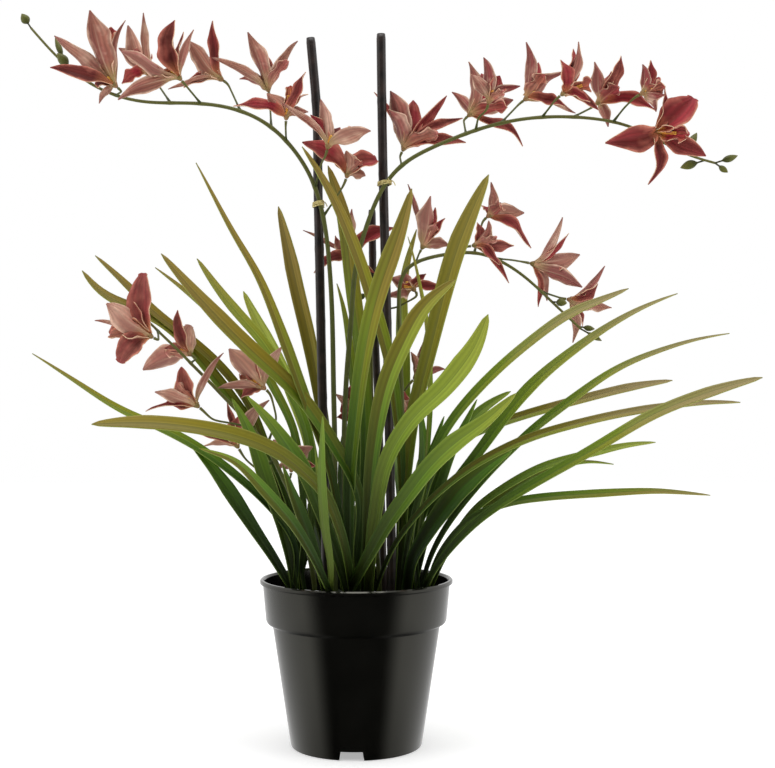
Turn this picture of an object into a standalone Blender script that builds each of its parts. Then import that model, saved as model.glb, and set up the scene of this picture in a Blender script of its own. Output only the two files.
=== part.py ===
# A spray orchid in its nursery pot: pot, soil, three canes, two ties, fifteen leaf shoots, five flower
# stems and thirty-two blooms. Sizes are in millimetres and become metres where a shape is made.
# The pot's axis is Z, the floor is z = 0, and the front is -Y.

import math

import bmesh
import bpy
from mathutils import Matrix, Vector

MM = 0.001
CLEAR = 0.3  # gap kept between two pieces that touch

# The plant is drawn in front elevation, full size: across from the sheet's left edge, down from its top.
AXIS_ACROSS = 356.5  # the pot's axis on the sheet
FLOOR_DOWN = 743.0  # the floor on the sheet
EYE_X, EYE_DISTANCE, EYE_Z = 31.0, 1320.0, 345.0  # where the elevation is looked at from

# Pot
RIM_HEIGHT = 165.0
RIM_RADIUS = 96.0
BAND_TOP_RADIUS, BAND_FOOT_RADIUS, BAND_FOOT_Z = 93.2, 90.0, 125.0
BODY_TOP_RADIUS, BODY_TOP_Z = 83.4, 119.0
FOOT_RADIUS = 65.6
WALL = 1.7
FLOOR_UNDER_Z = 9.5
PAD_RADIUS = 12.0
POT_SIDES, SOIL_SIDES = 32, 16
NOTCHES, NOTCH_TOP_WIDTH, NOTCH_FOOT_WIDTH, NOTCH_HEIGHT = 3, 21.0, 24.0, 8.5
NOTCH_TURN = math.radians(-92.7)  # the front notch is a little left of the middle

# Soil and what stands in it
SOIL_EDGE_Z, SOIL_MIDDLE_Z = 140.0, 143.0
BASE_TOP_Z = 152.0  # a shoot's base stands out of the soil this far
BASE_FOOT_Z = 124.0
STEM_FOOT_Z = 104.0
CANE_FOOT_Z = 34.0
SHOOT_HALF_WIDTH, SHOOT_HALF_DEPTH = 8.0, 5.0

# The foliage opens out from the pot: a leaf's depth is its lean times this spread.
SPREAD_GAIN, SPREAD_REACH = 3.6, 240.0
SPREAD_DOWN = 600.0  # the spread is measured from this height on the sheet

LEAF_STATIONS = ((170, 6), (300, 7), (900, 8))  # sections of a leaf up to this long
STEM_STATIONS = 20
LEAF_THICK = 1.5
PETAL_THICK = 1.8

GREEN_LEAF = (0.09, 0.17, 0.03)
GREEN_STEM = (0.11, 0.14, 0.03)
ROSE = (0.36, 0.08, 0.09)


def spread(across, down):
    reach = math.hypot(across - AXIS_ACROSS, down - SPREAD_DOWN)
    return 1 + SPREAD_GAIN * (1 - math.exp(-reach / SPREAD_REACH))


def drawn(across, down, depth=0.0):
    # a point of the elevation, carried along the line of sight to its depth (mm in, metres out)
    grow = (EYE_DISTANCE + depth) / EYE_DISTANCE
    x = EYE_X + (across - AXIS_ACROSS - EYE_X) * grow
    z = EYE_Z + (FLOOR_DOWN - down - EYE_Z) * grow
    return Vector((x, depth, z)) * MM


# Canes: name, radius, then (across, down, depth) from the top to the soil
CANES = {
    "cane_left": (4.8, [(310.5, 38, 6), (317.5, 114, 6), (318, 190, 6), (321, 330, 6), (323, 420, 6)],
                  (-30.5, 6)),
    "cane_right": (4.8, [(381, 34, 6), (382, 114, 6), (383.5, 196, 6), (387, 321, 6), (389, 420, 6)],
                   (35.5, 6)),
    "cane_back": (4.0, [(372, 210, 50), (373, 283, 50), (377, 380, 50), (380, 450, 50)], (26.5, 50)),
}

# Leaf shoots: foot (x, lean), then each leaf: seen width, share of its length that its tip tapers over,
# turn of its face (degrees), own lean or None, and its line from the foot to the tip. A turn of None lays
# the blade across, for leaves that run in depth.
SHOOTS = {
    "shoot_01": (-23, -46, [
        (10, 0.3, 35, -66, [(313, 556), (294, 524), (262, 488), (236, 459), (199, 448)]),
        (9, 0.3, -30, -58, [(330, 560), (324, 528), (321, 480), (322, 449), (323, 416)]),
        (10, 0.3, 35, -50, [(316, 556), (303, 520), (292, 492), (283, 465)]),
    ]),
    "shoot_02": (-6, -38, [
        (14, 0.13, 30, -48, [(345, 545), (326, 491), (280, 451), (236, 434), (186, 425), (136, 421),
                            (91, 424)]),
        (15, 0.3, 35, None, [(338, 560), (317, 505), (305, 472), (290, 450), (270, 421), (247, 396)]),
        (19, 0.26, -30, -52, [(366, 562), (389, 521), (429, 467), (456, 441), (486, 422), (516, 393)]),
    ]),
    "shoot_03": (13, -30, [
        (18, 0.16, -25, None, [(368, 540), (371, 472), (377, 426), (385, 386), (398, 353), (409, 333),
                               (420, 307), (440, 291), (456, 279)]),
        (20, 0.16, -30, -36, [(373, 536), (384, 466), (396, 441), (419, 409), (440, 395), (456, 374),
                              (476, 349), (488, 314)]),
        (7.5, 0.2, -40, None, [(392, 545), (430, 499), (468, 468), (493, 454), (531, 436), (569, 426),
                                (607, 416), (657, 407), (707, 401), (741, 402)]),
    ]),
    "shoot_04": (66, -21, [
        (9.5, 0.12, -40, -34, [(437, 563), (478, 519), (506, 501), (544, 478), (589, 453), (619, 434),
                                (657, 411), (695, 397), (733, 384), (763, 377)]),
        (7.5, 0.3, -35, -30, [(437, 555), (468, 517), (511, 501), (556, 496), (607, 493), (657, 490),
                               (711, 495)]),
    ]),
    "shoot_05": (-58, -26, [
        (13, 0.3, 30, None, [(272, 556), (257, 534), (231, 494), (213, 468), (190, 443)]),
        (14, 0.3, 35, None, [(290, 560), (280, 520), (264, 476), (250, 432), (232, 398)]),
        (8.5, 0.42, 35, None, [(300, 545), (271, 507), (240, 478), (202, 449), (169, 431), (118, 409.5),
                              (69, 376.5), (32, 353)]),
    ]),
    "shoot_06": (-4, -24, [
        (15, 0.2, 30, None, [(356, 540), (364, 500), (353, 477), (339, 453), (322, 426), (301, 395),
                              (266, 364), (234, 334), (208.5, 307), (182, 278.5), (161, 253)]),
        (18, 0.17, -25, None, [(350, 540), (350, 472), (355, 426), (360, 380), (368, 333), (375, 303),
                               (384, 275), (393, 252), (405, 217), (411.7, 188)]),
        (10, 0.42, 40, None, [(343, 540), (330, 465), (311, 417), (288.5, 353.5), (272.5, 310), (258, 271),
                              (236, 240), (216, 200), (196, 162)]),
    ]),
    "shoot_07": (47, -17, [
        (9, 0.16, -35, None, [(408, 540), (430, 459), (450, 421), (476, 391), (506, 361), (541, 333),
                               (571, 310), (602, 300), (629, 288)]),
        (11.5, 0.42, -35, None, [(415, 550), (445, 495), (481, 451), (508, 412), (538, 378), (570, 352.5),
                                 (607, 326), (644, 305), (678, 293)]),
        (20, 0.3, -35, -24, [(412, 560), (434, 524), (461, 488), (487, 466), (512, 450)]),
    ]),
    "shoot_08": (-54, -6, [
        (8, 0.16, 35, None, [(296, 540), (275, 470), (251, 405), (230, 375), (195, 341.5), (171, 326),
                             (153.5, 312.5), (129, 286), (95, 255)]),
        (10, 0.14, 35, None, [(298, 530), (270, 450), (230, 396), (205, 365), (181, 335), (153, 314),
                             (111, 301), (92, 289), (82, 270)]),
        (8, 0.3, 35, -9, [(305, 520), (296, 430), (262, 366), (225, 325), (188, 292), (155, 267)]),
        (10, 0.16, 35, None, [(312, 530), (310, 441), (301, 412), (284, 378), (266, 343), (239, 316),
                              (213, 283), (197, 258)]),
    ]),
    "shoot_09": (44, -8, [
        (12, 0.22, 30, None, [(402, 520), (400, 440), (391, 364), (383, 336), (370, 295), (361, 263),
                              (352, 240), (340, 212), (332, 192), (316, 166), (302, 146)]),
        (18, 0.16, -35, None, [(404, 500), (414, 410), (423, 382), (435, 332), (445, 291), (456, 250),
                               (473, 208), (488.7, 174)]),
        (9, 0.3, -30, None, [(412, 520), (426, 470), (436, 440), (444, 416)]),
    ]),
    "shoot_10": (-17, 12, [
        (14, 0.16, -30, None, [(332, 520), (328, 440), (316, 369), (308, 329), (300, 300), (288, 245),
                               (278, 206)]),
        (13, 0.16, -30, 22, [(326, 520), (308, 430), (280, 360), (266, 336), (251, 309), (243, 291)]),
        (9, 0.3, -30, None, [(322, 530), (306, 480), (296, 450), (290, 422)]),
        (9, 0.3, -30, 8, [(322, 560), (316, 540), (311, 522), (308, 503)]),
    ]),
    "shoot_11": (5, 18, [
        (15, 0.16, 30, 3, [(362, 520), (366, 430), (363, 370), (358, 330), (352, 292), (348, 247),
                           (345, 217), (336, 189), (328, 165)]),
        (9, 0.3, 30, None, [(358, 500), (356, 400), (348, 330), (342, 298), (337, 283)]),
        (8, 0.3, 30, 14, [(350, 530), (343, 500), (341, 470), (342, 436)]),
    ]),
    "shoot_12": (54, 11, [
        (13, 0.3, 30, None, [(408, 540), (405, 480), (403, 400), (402, 340), (401, 300), (405, 266),
                             (417, 229)]),
        (5, 0.3, 20, 2, [(424, 500), (431, 400), (428, 322), (421, 291), (415, 259), (408, 236)]),
        (9, 0.3, -30, None, [(430, 520), (452, 450), (466, 422), (477, 399)]),
        (11, 0.3, 30, 8, [(412, 540), (421, 486), (424, 446), (420, 404)]),
    ]),
    "shoot_13": (67, -7, [
        (8, 0.42, -40, None, [(427, 560), (449, 521), (489, 472), (538, 424), (561, 409), (589, 386),
                              (622, 364), (657, 351), (695, 338), (730, 333)]),
        (7, 0.2, -35, -12, [(440, 558), (474, 508), (506, 486), (541, 466), (566, 459), (594, 453),
                             (627, 444), (656, 442)]),
        (7, 0.42, -40, None, [(446, 552), (490, 505), (525, 480), (556, 467), (586, 460), (614, 464)]),
    ]),
    "shoot_14": (50, 28, [
        (8, 0.12, -35, None, [(414, 540), (432, 468), (452, 444), (481, 430), (518, 417), (556, 406),
                              (594, 396), (632, 386), (673, 380)]),
        (9, 0.16, -30, None, [(414, 540), (440, 470), (468, 422), (488, 404), (511, 391)]),
        (14, 0.42, None, None, [(410, 540, 62), (420, 480, 104), (428, 446, 165), (434, 444, 225)]),
        (14, 0.42, None, None, [(404, 530, 60), (400, 470, 95), (398, 444, 150), (400, 450, 235)]),
    ]),
    "shoot_15": (-12, 42, [
        (14, 0.42, None, None, [(336, 540, 64), (322, 485, 105), (308, 458, 165), (296, 462, 235)]),
        (14, 0.42, None, None, [(346, 535, 66), (348, 470, 112), (350, 440, 175), (352, 446, 260)]),
        (13, 0.42, None, None, [(352, 540, 62), (368, 475, 100), (382, 446, 160), (392, 450, 220)]),
    ]),
}

# Flower stems: radius at the foot and the tip, foot (x, y), line (across, down, depth) from foot to tip,
# and the buds: (across, down) where the stalk leaves, (across, down) of the bud's tip, and its width.
STEMS = {
    "stem_upper_left": (2.9, 1.2, (-21.5, -3), [
        (335, 438, -3), (333.7, 403, -3), (333, 346, -3), (332, 300, -3), (327, 230, -3), (321, 205, -3),
        (318, 189, -4), (312, 174, -5), (301, 157, -6), (287, 139, -8), (273, 125, -9), (257, 115, -10),
        (232, 106, -12), (199, 102, -13), (166, 103, -14), (149, 104.5, -15), (133, 102.5, -15),
        (116, 97, -15), (99.5, 91, -15), (83, 81, -14), (68, 69, -13), (43, 43, -12), (31, 28, -12)],
        [((32, 29), (21.6, 13.5), 9, -12), ((76, 75), (57, 53), 10, -20), ((66, 67), (55, 37), 6, -4)]),
    "stem_upper_right": (2.9, 1.2, (-11.5, -3), [
        (344.6, 472, -3), (343.5, 449, -3), (344.6, 415, -3), (345.8, 380, -3), (349, 346, -3),
        (352, 311, -3), (354, 263, -3), (363.5, 235, -3), (369, 217, -3), (375, 199, -3), (381, 187, -3),
        (387.6, 178, -3), (394, 165, -5), (411, 156, -7), (435, 146, -8), (452, 139, -9), (474, 129, -10),
        (498.5, 123, -10), (525, 117, -11), (549, 116, -12), (576, 116, -12), (603, 119, -12),
        (625, 122, -4), (645, 132, 2), (665, 142, -2), (680, 155, -4), (700, 161, -6), (715, 163, -6)],
        [((715, 163), (738, 155.5), 7, -6), ((712, 163), (728, 172.5), 6, -14),
         ((702, 160), (680, 168), 9, 2), ((683, 155), (697, 132.5), 8, 4)]),
    "stem_right": (2.8, 1.2, (47.5, 3), [
        (404, 500, 5), (402, 400, 8), (399, 320, 12), (398, 280, 14), (403, 264, 16), (420, 259.5, 17),
        (440, 254.5, 18), (456, 253, 19), (473, 249.5, 20), (489.5, 254.5, 20), (506, 263, 21),
        (523, 274, 22), (539, 289, 23), (556, 306, 24), (572, 321, 25), (581, 329, 25)],
        [((579, 327), (595, 329), 6, 25), ((584, 330), (602, 341), 6, 20), ((552, 302), (567, 303), 8, 8)]),
    "stem_left": (2.6, 1.2, (-40, -26), [
        (306, 540, -38), (290, 492, -42), (266, 443, -48), (249, 426, -52), (241, 414, -53),
        (223.5, 397, -55), (206, 378, -57), (191, 364, -58), (180.5, 352, -59), (163, 336, -60),
        (151, 324, -60)],
        [((151, 324), (144, 314), 6, -52)]),
    "stem_back": (2.6, 1.4, (23, 16), [
        (374, 520, 22), (372, 430, 26), (371, 350, 28), (370, 300, 30), (366, 276, 32), (358, 264, 34)],
        [((368, 290), (358, 300), 6, 34)]),
}

# Blooms: the stem, where the pedicel leaves it and the points that it passes (across, down, depth), the
# flower's foot (across, down, depth), its tepals and last its lip: tip (across, down), how much deeper
# than the foot, and width.
BLOOMS = {
    "bloom_a1": ("stem_upper_left", [(116, 97, -15)], (118, 88, -30),
                 [(91, 10, -14, 22), (124, 20, 4, 6), (53, 37, 2, 14), (50, 67, -8, 13), (99, 104, -4, 6),
                  (94, 83, 10, 13), (113, 28, 12, 16)]),
    "bloom_a2": ("stem_upper_left", [(172, 102, -14), (159, 86, 6)], (150, 76, 14),
                 [(145, 13, -4, 8), (128, 26, 10, 16), (119, 48, 16, 15), (122, 84, 2, 15),
                  (152, 56, 34, 11), (135, 50, 4, 13)]),
    "bloom_a3": ("stem_upper_left", [(199, 102, -13)], (182, 81, -32),
                 [(172, 20, -12, 21), (194, 30, 6, 7), (185, 33, 14, 7), (121, 52, -14, 13),
                  (118, 100, -12, 13), (150, 74, 2, 12)]),
    "bloom_a4": ("stem_upper_left", [(240, 108, -11)], (224, 81, 12),
                 [(213, 21, 2, 11), (187, 40, -6, 16), (168, 89, 2, 5), (182, 86, 10, 11),
                  (212, 52, 26, 12), (205, 70, 4, 11)]),
    "bloom_a5": ("stem_upper_left", [(272, 124, -9), (270, 104, 6)], (269, 93, 14),
                 [(248.7, 32, -6, 14), (297, 41, 6, 9), (212, 58, -12, 8), (262, 50, 22, 13),
                  (240, 78, 10, 10), (288, 60, -6, 11)]),
    "bloom_a6": ("stem_upper_left", [(288, 140, -8)], (286, 121, -24),
                 [(306, 72, -4, 12), (233, 106, -14, 14), (307, 92, 8, 8), (308, 112, -10, 8),
                  (266, 94, -8, 13), (290, 85, 4, 10)]),
    "bloom_a7": ("stem_upper_left", [(320, 185, -4), (321, 164, -20)], (327, 150, -34),
                 [(321, 99, 2, 11), (371, 131, -10, 14), (281, 103, -24, 6), (311, 115, 6, 10),
                  (340, 127, 14, 11), (356, 130, 6, 10)]),
    "bloom_a8": ("stem_upper_left", [(328, 216, -3), (336, 198, -8)], (346, 179, -6),
                 [(377, 160, 6, 19), (302, 141, -1, 18), (347, 150, -8, 12), (366, 176, -6, 10),
                  (334, 152, 6, 10), (361, 160, -4, 11)]),
    "bloom_b1": ("stem_upper_right", [(398, 163, -5)], (402, 152, 14),
                 [(390, 91, -2, 20), (374, 92, 14, 6), (389, 109, -12, 16), (448, 96, 4, 10),
                  (463, 117, 0, 9), (414, 99, 8, 18), (466, 142, -2, 12), (438, 134, -6, 17)]),
    "bloom_b2": ("stem_upper_right", [(468, 132, -10)], (467, 117, 12),
                 [(471, 61, -6, 13), (513, 100, 4, 16), (525, 144, 6, 10), (488, 75, 14, 12),
                  (452, 92, 20, 10), (508, 106, -4, 14)]),
    "bloom_b3": ("stem_upper_right", [(476, 128, -10), (478, 118, -20)], (488, 105, -30),
                 [(485, 57, -6, 13), (499, 76, 6, 15), (470, 75, -10, 11), (520, 86, 2, 8),
                  (480, 72, 16, 9), (504, 92, -6, 9)]),
    "bloom_b4": ("stem_upper_right", [(502, 122, -10)], (523, 101, 12),
                 [(527, 42, -4, 11), (564, 72, 4, 12), (565, 105, -4, 12), (575, 113, 8, 7),
                  (538, 62, 18, 13), (543, 74, 0, 17)]),
    "bloom_b5": ("stem_upper_right", [(540, 117, -12)], (560, 96, -30),
                 [(579.6, 42, -4, 10), (573, 49, 9, 13), (599, 110, 4, 9), (560, 60, -14, 14),
                  (590, 102, -8, 10), (592, 82, 2, 15)]),
    "bloom_b6": ("stem_upper_right", [(573.6, 116, -12)], (595, 105, 12),
                 [(594, 62, -6, 12), (623, 56, 4, 14), (657, 108, 8, 14), (608, 127, 10, 9),
                  (612, 72, 18, 13), (618, 86, -2, 17)]),
    "bloom_b7": ("stem_upper_right", [(612, 119, -10), (624, 108, -20)], (639, 95, -26),
                 [(643, 64, -4, 9), (651, 60, 6, 9), (665, 96, -4, 13), (657, 112, -2, 8),
                  (659, 78, 14, 12), (664, 86, 0, 14)]),
    "bloom_b8": ("stem_upper_right", [(645, 132, 2)], (653, 132, -18),
                 [(605, 143, -14, 22), (664.5, 86, -4, 10), (694, 98, -8, 27), (706, 156, -12, 17),
                  (650, 185, -10, 13), (688, 134, -18, 17)]),
    "bloom_c1": ("stem_right", [(414, 261, 16)], (421, 250, 18),
                 [(408, 184, 2, 5), (430, 196, -4, 16), (445, 218, 6, 8), (450, 245, 4, 11),
                  (436, 208, 14, 12), (436, 226, 0, 12)]),
    "bloom_c2": ("stem_right", [(474, 249, 20), (480, 232, 32)], (486, 218, 38),
                 [(491, 182, -4, 9), (524, 213, 4, 14), (530, 249, 4, 12), (481, 205, 6, 9),
                  (501, 203, 12, 9), (503, 205, -6, 14)]),
    "bloom_c3": ("stem_right", [(462, 252, 19)], (471, 246, 4),
                 [(490, 221, -2, 13), (514, 246, 4, 12), (509, 283, -6, 6), (478, 222, 4, 10),
                  (500, 264, -12, 9), (497, 238, -6, 10)]),
    "bloom_c4": ("stem_right", [(496, 258, 20), (512, 260, 30)], (529, 263, 40),
                 [(563, 218, 2, 8), (568, 233, 10, 7), (579, 255, 6, 18), (582, 287, -6, 13),
                  (538, 307, 6, 6), (547, 301, 10, 8), (562, 270, 2, 10)]),
    "bloom_c5": ("stem_right", [(541, 291, 23)], (566, 299, 40),
                 [(605, 266, 4, 6), (599, 285, -4, 10), (612, 307, 2, 12), (573, 343, -4, 9),
                  (584, 326, 10, 8), (592, 295, 0, 11)]),
    "bloom_d1": ("stem_left", [(157, 331, -60)], (154, 338, -78),
                 [(144, 273, 6, 22), (106, 303, -12, 19), (96, 319, 4, 6), (120, 363, -8, 22),
                  (128, 296, 12, 16), (107, 331, 6, 22)]),
    "bloom_d2": ("stem_left", [(191, 364, -58)], (192.5, 356, -48),
                 [(177, 310, 4, 11), (190, 325, 9, 17), (143, 370, 3, 19), (163, 348, 6, 9),
                  (180, 334, 14, 9), (166, 353, 2, 10)]),
    "bloom_d3": ("stem_left", [(252, 429, -52), (236, 424, -66), (212, 420, -68)], (200, 408, -66),
                 [(182, 367, 6, 18), (223.5, 353, -8, 6), (155, 392, -8, 11), (145, 410, -2, 5),
                  (166, 402, 10, 9), (175, 383, 0, 11)]),
    "bloom_d4": ("stem_left", [(268, 446, -48), (277, 419, -45), (273, 403, -43)], (266.5, 390, -42),
                 [(229, 349, -8, 20), (282, 347, -4, 12), (218, 388, -6, 8), (241, 398, -2, 12),
                  (250, 354, 4, 12), (240, 374, 2, 11)]),
    "bloom_d5": ("stem_left", [(274, 462, -46), (258, 470, -46), (246, 460, -48)], (239, 449, -52),
                 [(228, 402, 3, 7), (269, 400, 8, 11), (239, 416, -2, 14), (197, 433, -4, 9),
                  (202, 447, 2, 6), (222, 430, 4, 9)]),
    "bloom_d6": ("stem_left", [(284, 481, -44)], (291, 473, -41),
                 [(273, 440, -4, 16), (312, 446, 2, 17), (315, 466, -2, 12), (292, 440, 8, 10),
                  (276, 468, 2, 8), (300, 450, -4, 10)]),
    "bloom_e1": ("stem_back", [(360, 268, 34)], (352, 260, 33),
                 [(303, 231, 6, 4), (313, 272, 4, 12), (352, 209, 4, 9), (334, 237, 4, 12),
                  (394, 226, 4, 15), (375, 274, 4, 4)]),
    "bloom_e2": ("stem_back", [(370, 310, 30), (396, 308, 26)], (416, 292, 26),
                 [(391, 278, 6, 14), (388, 297, -6, 14), (450, 289, 4, 9), (404, 272, 5, 11),
                  (426, 274, 8, 9), (398, 287, 0, 9)]),
    "bloom_e3": ("stem_back", [(372, 420, 28), (396, 402, 28.5)], (413, 380, 24),
                 [(424, 342, 4, 13), (445, 369, 4, 8), (411, 352, 4, 8), (432, 360, 8, 8), (428, 388, 2, 8),
                  (422, 362, -4, 7)]),
    "bloom_e4": ("stem_back", [(373, 460, 25)], (354, 424, 31),
                 [(336, 394, 0, 12), (337, 417, -4, 8), (350, 385, 6, 9), (364, 398, 4, 9),
                  (340, 404, 8, 8), (346, 398, -2, 7)]),
    "bloom_e5": ("stem_back", [(373, 480, 24), (396, 450, 18)], (410, 420, 17),
                 [(394, 396, 3, 10), (392, 414, 0, 10), (405, 391, 5, 9), (417, 397, 3, 9),
                  (397, 429, 2, 8), (402, 402, 0, 7)]),
}

# A tie binds a flower stem to a cane: the cane, the stem, where (down), and the band's height.
TIES = {
    "tie_left": ("cane_left", "stem_upper_left", 204.0, 6.5),
    "tie_right": ("cane_right", "stem_upper_right", 183.0, 5.0),
}
TIE_THICK, TIE_SIDES = 1.5, 18
PEDICEL_RADIUS = 1.1
NECK = 5.0  # the last of a pedicel runs straight into its flower
CORE_FOOT, CORE_RADIUS, CORE_LENGTH = 1.7, 3.4, 5.0
DEEPEN = 1.3  # the tepals' depths are drawn a little flat
BOW = 0.18  # how far a tepal first follows the flower's axis
TEPAL_SHARES, SLIM_SHARES, SLIM_WIDTH = (0, 0.36, 0.7, 1), (0, 0.5, 1), 10.5  # where a tepal's sections lie


def along(points, count):
    # points spaced evenly by length on the line
    lengths = [0.0]
    for a, b in zip(points, points[1:]):
        lengths.append(lengths[-1] + (b - a).length)
    found = []
    i = 0
    for step in range(count):
        goal = lengths[-1] * step / (count - 1)
        while i < len(points) - 2 and lengths[i + 1] < goal:
            i += 1
        share = (goal - lengths[i]) / (lengths[i + 1] - lengths[i])
        found.append(points[i].lerp(points[i + 1], share))
    return found


def smooth(points, count, passes=8):
    # the line with its corners relaxed, its ends kept
    fine = along(points, 4 * (count - 1) + 1)
    for _ in range(passes):
        middle = [(a + 2 * b + c) / 4 for a, b, c in zip(fine, fine[1:], fine[2:])]
        fine = [fine[0], *middle, fine[-1]]
    return along(fine, count)


def tangents(points):
    ahead = [points[1] - points[0]] + [b - a for a, b in zip(points, points[2:])] + [points[-1] - points[-2]]
    return [t.normalized() for t in ahead]


def loft(bm, rings):
    # rings of equal counts joined by triangles; a ring of one point closes to a tip
    rows = [[bm.verts.new(p) for p in ring] for ring in rings]
    for near, far in zip(rows, rows[1:]):
        if len(far) == 1:
            for i, corner in enumerate(near):
                bm.faces.new((corner, near[(i + 1) % len(near)], far[0]))
            continue
        for i in range(len(near)):
            j = (i + 1) % len(near)
            if i % 2:  # both sides of a blade are split alike, from its edge to its rib
                bm.faces.new((near[i], near[j], far[i]))
                bm.faces.new((near[j], far[j], far[i]))
            else:
                bm.faces.new((near[i], near[j], far[j]))
                bm.faces.new((near[i], far[j], far[i]))
    bm.faces.new(rows[0][::-1])
    if len(rows[-1]) > 1:
        bm.faces.new(rows[-1])
    bmesh.ops.recalc_face_normals(bm, faces=bm.faces)
    if bm.calc_volume(signed=True) < 0:
        bmesh.ops.reverse_faces(bm, faces=bm.faces)


def blade(path, widths, thick, turn, fold, inward, ribs=2):
    # a blade along a path, ending in a point: edge, rib and edge, with the rib on both faces or the outer one
    frames = []
    for tangent in tangents(path):
        if turn is None:
            wide = (Vector((1, 0, 0)) - tangent * tangent.x).normalized()
        else:
            flat = tangent.cross(Vector((0, 1, 0))).normalized()
            wide = flat * math.cos(turn) + tangent.cross(flat) * math.sin(turn)
        if frames and wide.dot(frames[-1][0]) < 0:
            wide = -wide
        frames.append((wide, tangent.cross(wide)))
    facing = math.copysign(1, sum(up.dot(inward) for _, up in frames))
    bm = bmesh.new()
    rings = []
    for point, (wide, up), width in zip(path, frames, widths):
        half = wide * width / 2
        rise = up * facing * fold * width
        rib = up * facing * thick
        if ribs == 2:
            rings.append((point - half + rise, point + rib / 2, point + half + rise, point - rib / 2))
        else:
            rings.append((point - half + rise, point + half + rise, point + rise - rib))
    rings[-1] = (path[-1],)
    loft(bm, rings)
    return bm


def tube(path, radii, sides):
    bm = bmesh.new()
    rings = []
    for point, tangent, radius in zip(path, tangents(path), radii):
        one = tangent.cross(Vector((0, 1, 0))).normalized()
        two = tangent.cross(one)
        turns = [math.tau * i / sides for i in range(sides)]
        rings.append([point + (one * math.cos(a) + two * math.sin(a)) * radius for a in turns])
    if radii[-1] == 0:
        rings[-1] = (path[-1],)
    loft(bm, rings)
    return bm


def upright(x, y, foot_z, top_z, half_x, half_y, sides=8):
    # an upright oval column
    bm = bmesh.new()
    bmesh.ops.create_cone(bm, cap_ends=True, segments=sides, radius1=1, radius2=1, depth=1)
    size = Vector((half_x, half_y, top_z - foot_z)) * MM
    bmesh.ops.scale(bm, vec=size, verts=bm.verts)
    bmesh.ops.translate(bm, vec=Vector((x, y, (foot_z + top_z) / 2)) * MM, verts=bm.verts)
    return bm


def turned(profile, sides):
    # a closed body turned about Z from (radius, height) points that start and end on the axis
    bm = bmesh.new()
    points = [bm.verts.new((radius * MM, 0, z * MM)) for radius, z in profile]
    edges = [bm.edges.new(pair) for pair in zip(points, points[1:])]
    bmesh.ops.spin(bm, geom=points + edges, cent=(0, 0, 0), axis=(0, 0, 1), angle=math.tau, steps=sides,
                   use_merge=True)
    bmesh.ops.remove_doubles(bm, verts=bm.verts, dist=1e-6)
    bmesh.ops.recalc_face_normals(bm, faces=bm.faces)
    return bm


def finish(name, colour, roughness, metallic=0.0):
    material = bpy.data.materials.new(name)
    material.use_nodes = True
    shader = material.node_tree.nodes["Principled BSDF"]
    shader.inputs["Base Color"].default_value = (*colour, 1)
    shader.inputs["Roughness"].default_value = roughness
    shader.inputs["Metallic"].default_value = metallic
    return material


def placed(name, bm, material, collection=None):
    mesh = bpy.data.meshes.new(name)
    bm.to_mesh(mesh)
    bm.free()
    mesh.materials.append(material)
    obj = bpy.data.objects.new(name, mesh)
    (collection or bpy.context.scene.collection).objects.link(obj)
    return obj


def boolean(obj, operation, others, solver="EXACT"):
    # joins or cuts every object of a collection at once, applies it, and removes them
    modifier = obj.modifiers.new("boolean", "BOOLEAN")
    modifier.operation = operation
    modifier.operand_type = "COLLECTION"
    modifier.collection = others
    modifier.solver = solver
    graph = bpy.context.evaluated_depsgraph_get()
    result = bpy.data.meshes.new_from_object(obj.evaluated_get(graph))
    obj.modifiers.clear()
    obj.data = result
    for other in list(others.objects):
        bpy.data.objects.remove(other)
    bpy.data.collections.remove(others)


def keep_body(obj):
    # drops loose scraps and the walls of sealed hollows: the largest shell stays
    bm = bmesh.new()
    bm.from_mesh(obj.data)
    left = set(bm.faces)
    shells = []
    while left:
        shell = {left.pop()}
        edge = list(shell)
        while edge:
            face = edge.pop()
            beside = {f for e in face.edges for f in e.link_faces} & left
            left -= beside
            shell |= beside
            edge.extend(beside)
        shells.append(shell)
    largest = max(shells, key=lambda shell: sum(f.calc_area() for f in shell))
    bmesh.ops.delete(bm, geom=[f for f in bm.faces if f not in largest], context="FACES")
    bm.to_mesh(obj.data)
    bm.free()


def fused(name, shapes, material):
    # one body from shapes whose roots are sunk into each other
    others = bpy.data.collections.new(name + "_shapes")
    bpy.context.scene.collection.children.link(others)
    first = placed(name, shapes[0], material)
    for i, shape in enumerate(shapes[1:]):
        placed(f"{name}_shape_{i}", shape, material, others)
    boolean(first, "UNION", others, "MANIFOLD")
    keep_body(first)
    return first


def cut(obj, name, shapes, material):
    others = bpy.data.collections.new(name)
    bpy.context.scene.collection.children.link(others)
    for i, shape in enumerate(shapes):
        placed(f"{name}_{i}", shape, material, others)
    boolean(obj, "DIFFERENCE", others)


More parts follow.
